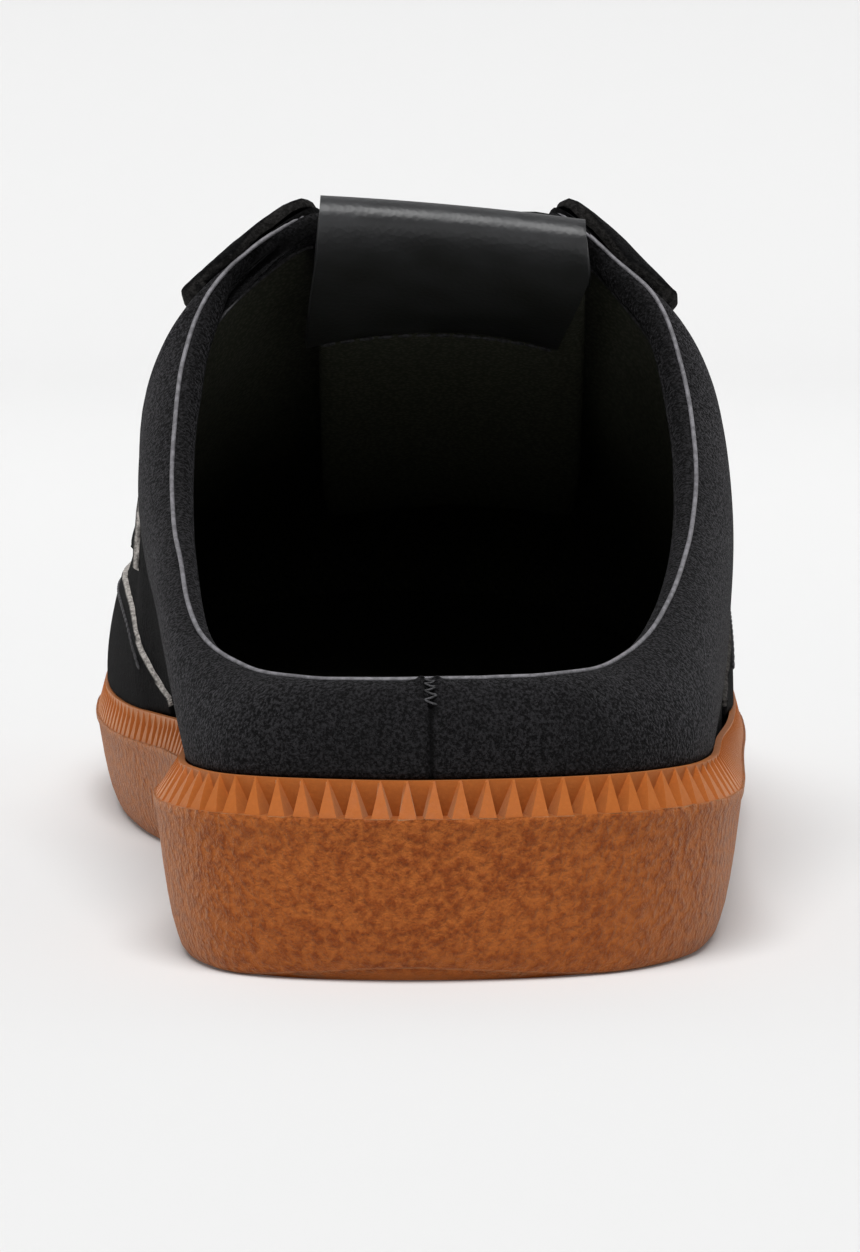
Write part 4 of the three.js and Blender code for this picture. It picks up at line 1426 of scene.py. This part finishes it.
class SNEAKER_OT_collar_trim(bpy.types.Operator):
    """Padded collar roll, its folded edge painted bright where it catches the light, and the facing seam
    inside
    """

    bl_idname = "sneaker.collar_trim"
    bl_label = "Collar trim"

    def execute(self, context):
        last = last_of(context)
        around = 28
        columns = 220

        def roll(i, j):
            rib = mix(-COLLAR_END, COLLAR_END, i / columns)
            edge, normal, past = edge_frame(last, rib)
            place = j / around * len(COLLAR_ROLL)
            slim = 1 - ROLL_SLIM * smooth_step(*ROLL_SLIM_RIBS, abs(rib))
            off = catmull([p[0] for p in COLLAR_ROLL], place, True) * MM
            on = catmull([p[1] for p in COLLAR_ROLL], place, True) * MM
            on *= slim if on > 0 else facing_share(abs(rib))
            off -= FACING_SWELL * smooth_step(8, 8.8, abs(rib)) * (1 - smooth_step(-3, -2.2, off / MM))
            off += padding(abs(rib)) * smooth_step(-3, 0, off / MM)
            closing = edge_rise((COLLAR_END - abs(rib)) * 12 * MM, 1.5 * MM)
            soft = noise.noise(edge / (9 * MM)) * ROLL_WAVE
            middle = edge - normal * 1.5 * MM
            if on < 0:
                point = last.offset(rib, max(down_from_edge(last, rib, -on), 0.3), off + soft)
            else:
                point = edge + normal * (off + soft) + past * on
            dark = 0.9 * smooth_step(1.2, 4.2, place) * (1 - smooth_step(12, 13.5, place))
            return middle.lerp(point, closing), dark

        bm = bmesh.new()
        formed_grid(bm, columns, around, roll, ("dark",))
        shoe_piece(bm, context, "collar_roll", speckled_microsuede, "microsuede")

        steps = 320
        fold = []
        for k in range(steps + 1):
            rib = mix(-COLLAR_END, COLLAR_END, k / steps)
            edge, normal, past = edge_frame(last, rib)
            wave = noise.noise(Vector((rib * 1.7, 0, 0))) * FOLD_WAVE
            tuck = FOLD_TUCK * smooth_step(8.7, 9.5, abs(rib))
            fold.append(edge + normal * (FOLD_LIFT + padding(abs(rib))) + past * (wave - 0.1 * MM - tuck))
        bm = bmesh.new()
        tube_along(bm, fold, FOLD_RADIUS, 8)
        # The folded edge's colour is a painted highlight.
        shoe_piece(bm, context, "collar_fold", painted_highlight_fold, "microsuede")

        bm = bmesh.new()
        for side in (1, -1):
            seam = []
            for k in range(81):
                rib = side * mix(*FACING_SEAM_RIBS, k / 80)
                depth = FACING_DEPTH * facing_share(abs(rib))
                seam.append(last.offset(rib, down_from_edge(last, rib, depth), FACING_SEAM_LIFT))
            tube_along(bm, seam, FACING_THREAD)
        shoe_piece(bm, context, "facing_seam", thread, "microsuede")
        return {"FINISHED"}


ZIGZAG_TURNS = 8
ZIGZAG_TOP = 0.98  # step where the zigzag starts, under the collar edge
ZIGZAG_RUN = 0.4  # steps that it covers
ZIGZAG_REACH = 0.085  # to each side of the heel seam, in rib numbers
ZIGZAG_THREAD = 0.13 * MM
ZIGZAG_LIFT = 0.22 * MM
ZIGZAG_DIP = 0.1 * MM  # off the band, where the thread crosses the seam
STAY_STITCH_IN = 0.045  # rows of stitches inside a piece's edge, in steps along a rib
FOXING_STITCH_IN = 0.035
STITCH_ROW_GAP = 0.05
THROAT_STITCH_STEP = 0.945
STITCH_PITCH = 2.6 * MM
STITCH_SIZE = (0.42 * STITCH_PITCH, 0.3 * MM, 0.22 * MM)  # half its length, width and height


class SNEAKER_OT_stitching(bpy.types.Operator):
    """Zigzag over the heel seam and the running stitches along the overlays"""

    bl_idname = "sneaker.stitching"
    bl_label = "Stitching"

    def execute(self, context):
        last = last_of(context)
        band_top = BASE_LIFT + BAND_THICKNESS
        bm = bmesh.new()
        for k in range(ZIGZAG_TURNS):
            low = ZIGZAG_TOP - ZIGZAG_RUN * k / ZIGZAG_TURNS
            high = low - ZIGZAG_RUN / ZIGZAG_TURNS
            reach = ZIGZAG_REACH if k % 2 else -ZIGZAG_REACH
            seam = seam_rib((low + high) / 2)
            corners = (
                last.offset(seam - reach, low, band_top + ZIGZAG_LIFT),
                last.offset(seam, (low + high) / 2, band_top + ZIGZAG_DIP),
                last.offset(seam + reach, high, band_top + ZIGZAG_LIFT),
            )
            tube_along(bm, [smooth_path(corners, t / 4) for t in range(9)], ZIGZAG_THREAD)
        shoe_piece(bm, context, "heel_stitches", thread, "cord")

        bm = bmesh.new()
        for path_at, length in self.stitch_rows(last):
            self.stitches(bm, path_at, length)
        shoe_piece(bm, context, "overlay_stitches", thread, "cord")
        return {"FINISHED"}

    def stitch_rows(self, last):
        """Places along each row of stitches, with the row's length."""
        rows = []
        full = last.rib_count

        def row(first, final, step_of, lift):
            def place(f):
                rib = mix(first, final, f)
                return last.offset(rib, step_of(last.from_back(rib)), lift), last.normal(rib, 0.6)

            points = [place(k / 40)[0] for k in range(41)]
            rows.append((place, sum((b - a).length for a, b in zip(points, points[1:]))))

        def stay_low(back):
            return read_table(EYESTAY_EDGE, "rib", back, "low") + STAY_STITCH_IN

        def foxing_high(back):
            return read_table(FOXING_EDGE, "rib", back, "high") - FOXING_STITCH_IN

        stay_top = EYESTAY_LIFT + last.sizes.overlay_thickness + 0.05 * MM
        row(9.3, full - 9.3, stay_low, stay_top)
        row(9.3, full - 9.3, lambda back: stay_low(back) + STITCH_ROW_GAP, stay_top)
        row(10.2, full - 10.2, lambda back: THROAT_STITCH_STEP, stay_top)
        row(BAND_END, full - BAND_END, foxing_high, FOXING_THICKNESS + 0.1 * MM)

        def on_tab(f):
            at = TAB_FRONT + math.pi * tab_fold(last.sizes) + TAB_BACK - 2.2 * MM
            lift = last.sizes.tab_thickness + 0.1 * MM
            return tab_point(last, mix(-0.92, 0.92, f), at, lift), Vector((0, -1, 0))

        rows.append((on_tab, last.sizes.tongue_width))
        return rows

    def stitches(self, bm, place, length):
        """Low rounded stitches one after another."""
        count = max(1, round(length / STITCH_PITCH))
        for k in range(count):
            centre, normal = place((k + 0.5) / count)
            before, _ = place((k + 0.4) / count)
            after, _ = place((k + 0.6) / count)
            along = (after - before).normalized()
            side = normal.cross(along).normalized()
            up = along.cross(side)
            turn = Matrix((along, side, up)).transposed().to_4x4()
            turn.translation = centre
            size = Matrix.Diagonal((*STITCH_SIZE, 1))
            bmesh.ops.create_uvsphere(bm, u_segments=6, v_segments=4, radius=1, matrix=turn @ size)


# Laces and eyelets

EYELET_RIBS = (14.6, 11.1)  # from the toe end up to the throat's corner
EYELET_STEP = 0.87
EYELET_RADIUS = 2.3 * MM
EYELET_CORD = 0.4 * MM  # radius of the ring's own round
EYELET_SIDES = 20
LACE_PAIRS = 5
LACE_THICKNESS = 1.1 * MM
LACE_LIFT = 0.9 * MM  # over the eyestay, besides the clearance
LACE_DIVE = 2.2 * MM  # into the eyelet
LACE_CROWN = 0.8 * MM  # how far a crossing bows over the throat
LACE_STEPS = 40  # along each crossing
LACE_SECTION = (
    (-1, -0.6), (-0.9, -1), (0, -1), (0.9, -1), (1, -0.6), (1, 0.6), (0.9, 1), (0, 1), (-0.9, 1), (-1, 0.6),
)
LACE_LEAN = Vector((0, 1, -0.47))  # down the throat, towards the toe
WEAVE = 0.5 * MM


class SNEAKER_OT_laces(bpy.types.Operator):
    """Flat lace crossed over the throat"""

    bl_idname = "sneaker.laces"
    bl_label = "Laces"

    def execute(self, context):
        last = last_of(context)
        s = last.sizes
        ribs = [mix(*EYELET_RIBS, k / (LACE_PAIRS - 1)) for k in range(LACE_PAIRS)]
        runs = [(ribs[0], ribs[0], 0.0)]
        for low, high in zip(ribs, ribs[1:]):
            runs += [(low, high, 0.3), (high, low, 0.65)]
        bm = bmesh.new()
        layer = bm.loops.layers.uv.new("along")
        for start, end, over in runs:
            self.crossing(bm, last, start, last.rib_count - end, over, layer)
        shoe_piece(bm, context, "flat_laces", lace_weave, "cord", "laces", sharp_degrees=50)

        bm = bmesh.new()
        for rib in ribs + [last.rib_count - rib for rib in ribs]:
            centre = last.offset(rib, EYELET_STEP, EYESTAY_LIFT + s.overlay_thickness)
            normal = last.normal(rib, EYELET_STEP)
            side = normal.cross(Vector((0, 0, 1))).normalized()
            up = side.cross(normal)
            ring = []
            for k in range(EYELET_SIDES):
                turn = 2 * math.pi * k / EYELET_SIDES
                ring.append(centre + (side * math.cos(turn) + up * math.sin(turn)) * EYELET_RADIUS)
            tube_along(bm, ring, EYELET_CORD, closed=True)
        shoe_piece(bm, context, "eyelet_rings", thread, "cord")
        return {"FINISHED"}

    def crossing(self, bm, last, start, end, over, layer):
        """One run of the lace between two eyelets, over the runs below it."""
        s = last.sizes
        thick = LACE_THICKNESS
        lift = LACE_LIFT + s.overlay_thickness + s.clearance + thick / 2 + over * thick
        step = EYELET_STEP - 0.02 * over
        near = [
            last.offset(start, step - 0.02, lift - LACE_DIVE),
            last.offset(start, step, lift),
            last.offset(start, 1, lift + s.clearance),
        ]
        far = [
            last.offset(end, 1, lift + s.clearance),
            last.offset(end, step, lift),
            last.offset(end, step - 0.02, lift - LACE_DIVE),
        ]
        crown = (near[-1] + far[0]) / 2 + Vector((0, 0, LACE_CROWN))
        path = near + [crown] + far

        def at(k):
            return smooth_path(path, k / LACE_STEPS * (len(path) - 1))

        def place(i, j):
            along = (at(min(j + 1, LACE_STEPS)) - at(max(j - 1, 0))).normalized()
            side = LACE_LEAN.cross(along).cross(along).normalized()
            up = along.cross(side).normalized()
            a, b = LACE_SECTION[i % len(LACE_SECTION)]
            closing = 1 if 0 < j < LACE_STEPS else 0
            return (at(j) + side * (a * s.lace_width / 2 * closing) + up * (b * thick / 2 * closing),)

        before = set(bm.faces)
        formed_grid(bm, len(LACE_SECTION), LACE_STEPS, place)
        for face in set(bm.faces) - before:
            for corner in face.loops:
                corner[layer].uv = (corner.vert.co.x / WEAVE, corner.vert.co.y / WEAVE)


# Stage, in metres

FLOOR_HALF = 14.0  # half its width
FLOOR_RUN = 14.0  # from its front edge to the bend
BACKDROP_PLACE = 2.2  # y of the backdrop
BACKDROP_BEND = 0.6  # radius of the bend from the floor
BACKDROP_HEIGHT = 2.6  # above the bend
FLOOR_COLUMNS = 8
FLOOR_ROWS = 160
WORLD_STRENGTH = 0.16
SUN_STRENGTH = 3.3
SUN_SPREAD = math.radians(44)
SUN_TURN = (math.radians(30), math.radians(-3), 0)
CAMERA_SIDE = -1.95 * MM  # from the heel's middle
CAMERA_BACK = 560 * MM  # behind the heel
CAMERA_HEIGHT = 93 * MM
CAMERA_PITCH = math.radians(5.27)  # downwards
CAMERA_LENS = 143.7


class SNEAKER_OT_stage(bpy.types.Operator):
    """Seamless pale ground, soft light and the camera behind the heel"""

    bl_idname = "sneaker.stage"
    bl_label = "Stage"

    def execute(self, context):
        last = last_of(context)
        scene = context.scene
        radius = BACKDROP_BEND
        arc = radius * math.pi / 2

        def sweep(i, j):
            x = mix(-FLOOR_HALF, FLOOR_HALF, i / FLOOR_COLUMNS)
            run = (FLOOR_RUN + arc + BACKDROP_HEIGHT) * j / FLOOR_ROWS - FLOOR_RUN
            if run < 0:
                return (Vector((x, BACKDROP_PLACE - radius + run, 0)),)
            if run < arc:
                out = radius * (1 - math.sin(run / radius))
                return (Vector((x, BACKDROP_PLACE - out, radius * (1 - math.cos(run / radius)))),)
            return (Vector((x, BACKDROP_PLACE, radius + run - arc)),)

        bm = bmesh.new()
        formed_grid(bm, FLOOR_COLUMNS, FLOOR_ROWS, sweep)
        floor = finish_mesh(bm, "ground", finish_of(context, studio_ground), closed=False)

        world = bpy.data.worlds.new("studio")
        world.use_nodes = True
        background = world.node_tree.nodes["Background"]
        background.inputs["Color"].default_value = (1, 1, 1, 1)
        background.inputs["Strength"].default_value = WORLD_STRENGTH
        scene.world = world

        sun = bpy.data.lights.new("overhead", "SUN")
        sun.energy = SUN_STRENGTH
        sun.angle = SUN_SPREAD
        lamp = bpy.data.objects.new("overhead", sun)
        lamp.rotation_euler = SUN_TURN
        scene.collection.objects.link(lamp)

        data = bpy.data.cameras.new("camera")
        data.sensor_width = 36
        data.lens = CAMERA_LENS
        data.clip_start = 0.02
        data.clip_end = 20
        camera = bpy.data.objects.new("camera", data)
        camera.location = (CAMERA_SIDE - last.centre.x, last.y_at(0) - CAMERA_BACK, CAMERA_HEIGHT)
        camera.rotation_euler = (math.radians(90) - CAMERA_PITCH, 0, 0)
        scene.collection.objects.link(camera)
        scene.camera = camera
        scene.view_settings.view_transform = "Standard"
        scene.view_settings.look = "None"
        return {"FINISHED"}


class SNEAKER_PT_panel(bpy.types.Panel):
    """Lists the pieces of the shoe"""

    bl_idname = "SNEAKER_PT_panel"
    bl_label = "Sneaker"
    bl_space_type = "VIEW_3D"
    bl_region_type = "UI"
    bl_category = "Sneaker"

    def draw(self, context):
        layout = self.layout
        for operator in OPERATORS:
            layout.operator(operator.bl_idname)
        for group in (context.scene.shoe_sizes, context.scene.shoe_colours):
            for name in property_names(group):
                layout.prop(group, name)


OPERATORS = (
    SNEAKER_OT_stage,
    SNEAKER_OT_sole,
    SNEAKER_OT_upper,
    SNEAKER_OT_heel_band,
    SNEAKER_OT_overlays,
    SNEAKER_OT_tongue,
    SNEAKER_OT_insole,
    SNEAKER_OT_collar_trim,
    SNEAKER_OT_stitching,
    SNEAKER_OT_laces,
)
CLASSES = (ShoeSizes, ShoeColours, *OPERATORS, SNEAKER_PT_panel)


def register():
    for item in CLASSES:
        bpy.utils.register_class(item)
    bpy.types.Scene.shoe_sizes = bpy.props.PointerProperty(type=ShoeSizes)
    bpy.types.Scene.shoe_colours = bpy.props.PointerProperty(type=ShoeColours)


def unregister():
    del bpy.types.Scene.shoe_colours
    del bpy.types.Scene.shoe_sizes
    for item in reversed(CLASSES):
        bpy.utils.unregister_class(item)


def main():
    register()
    for operator in OPERATORS:
        group, name = operator.bl_idname.split(".")
        getattr(getattr(bpy.ops, group), name)()


if __name__ == "__main__":
    main()
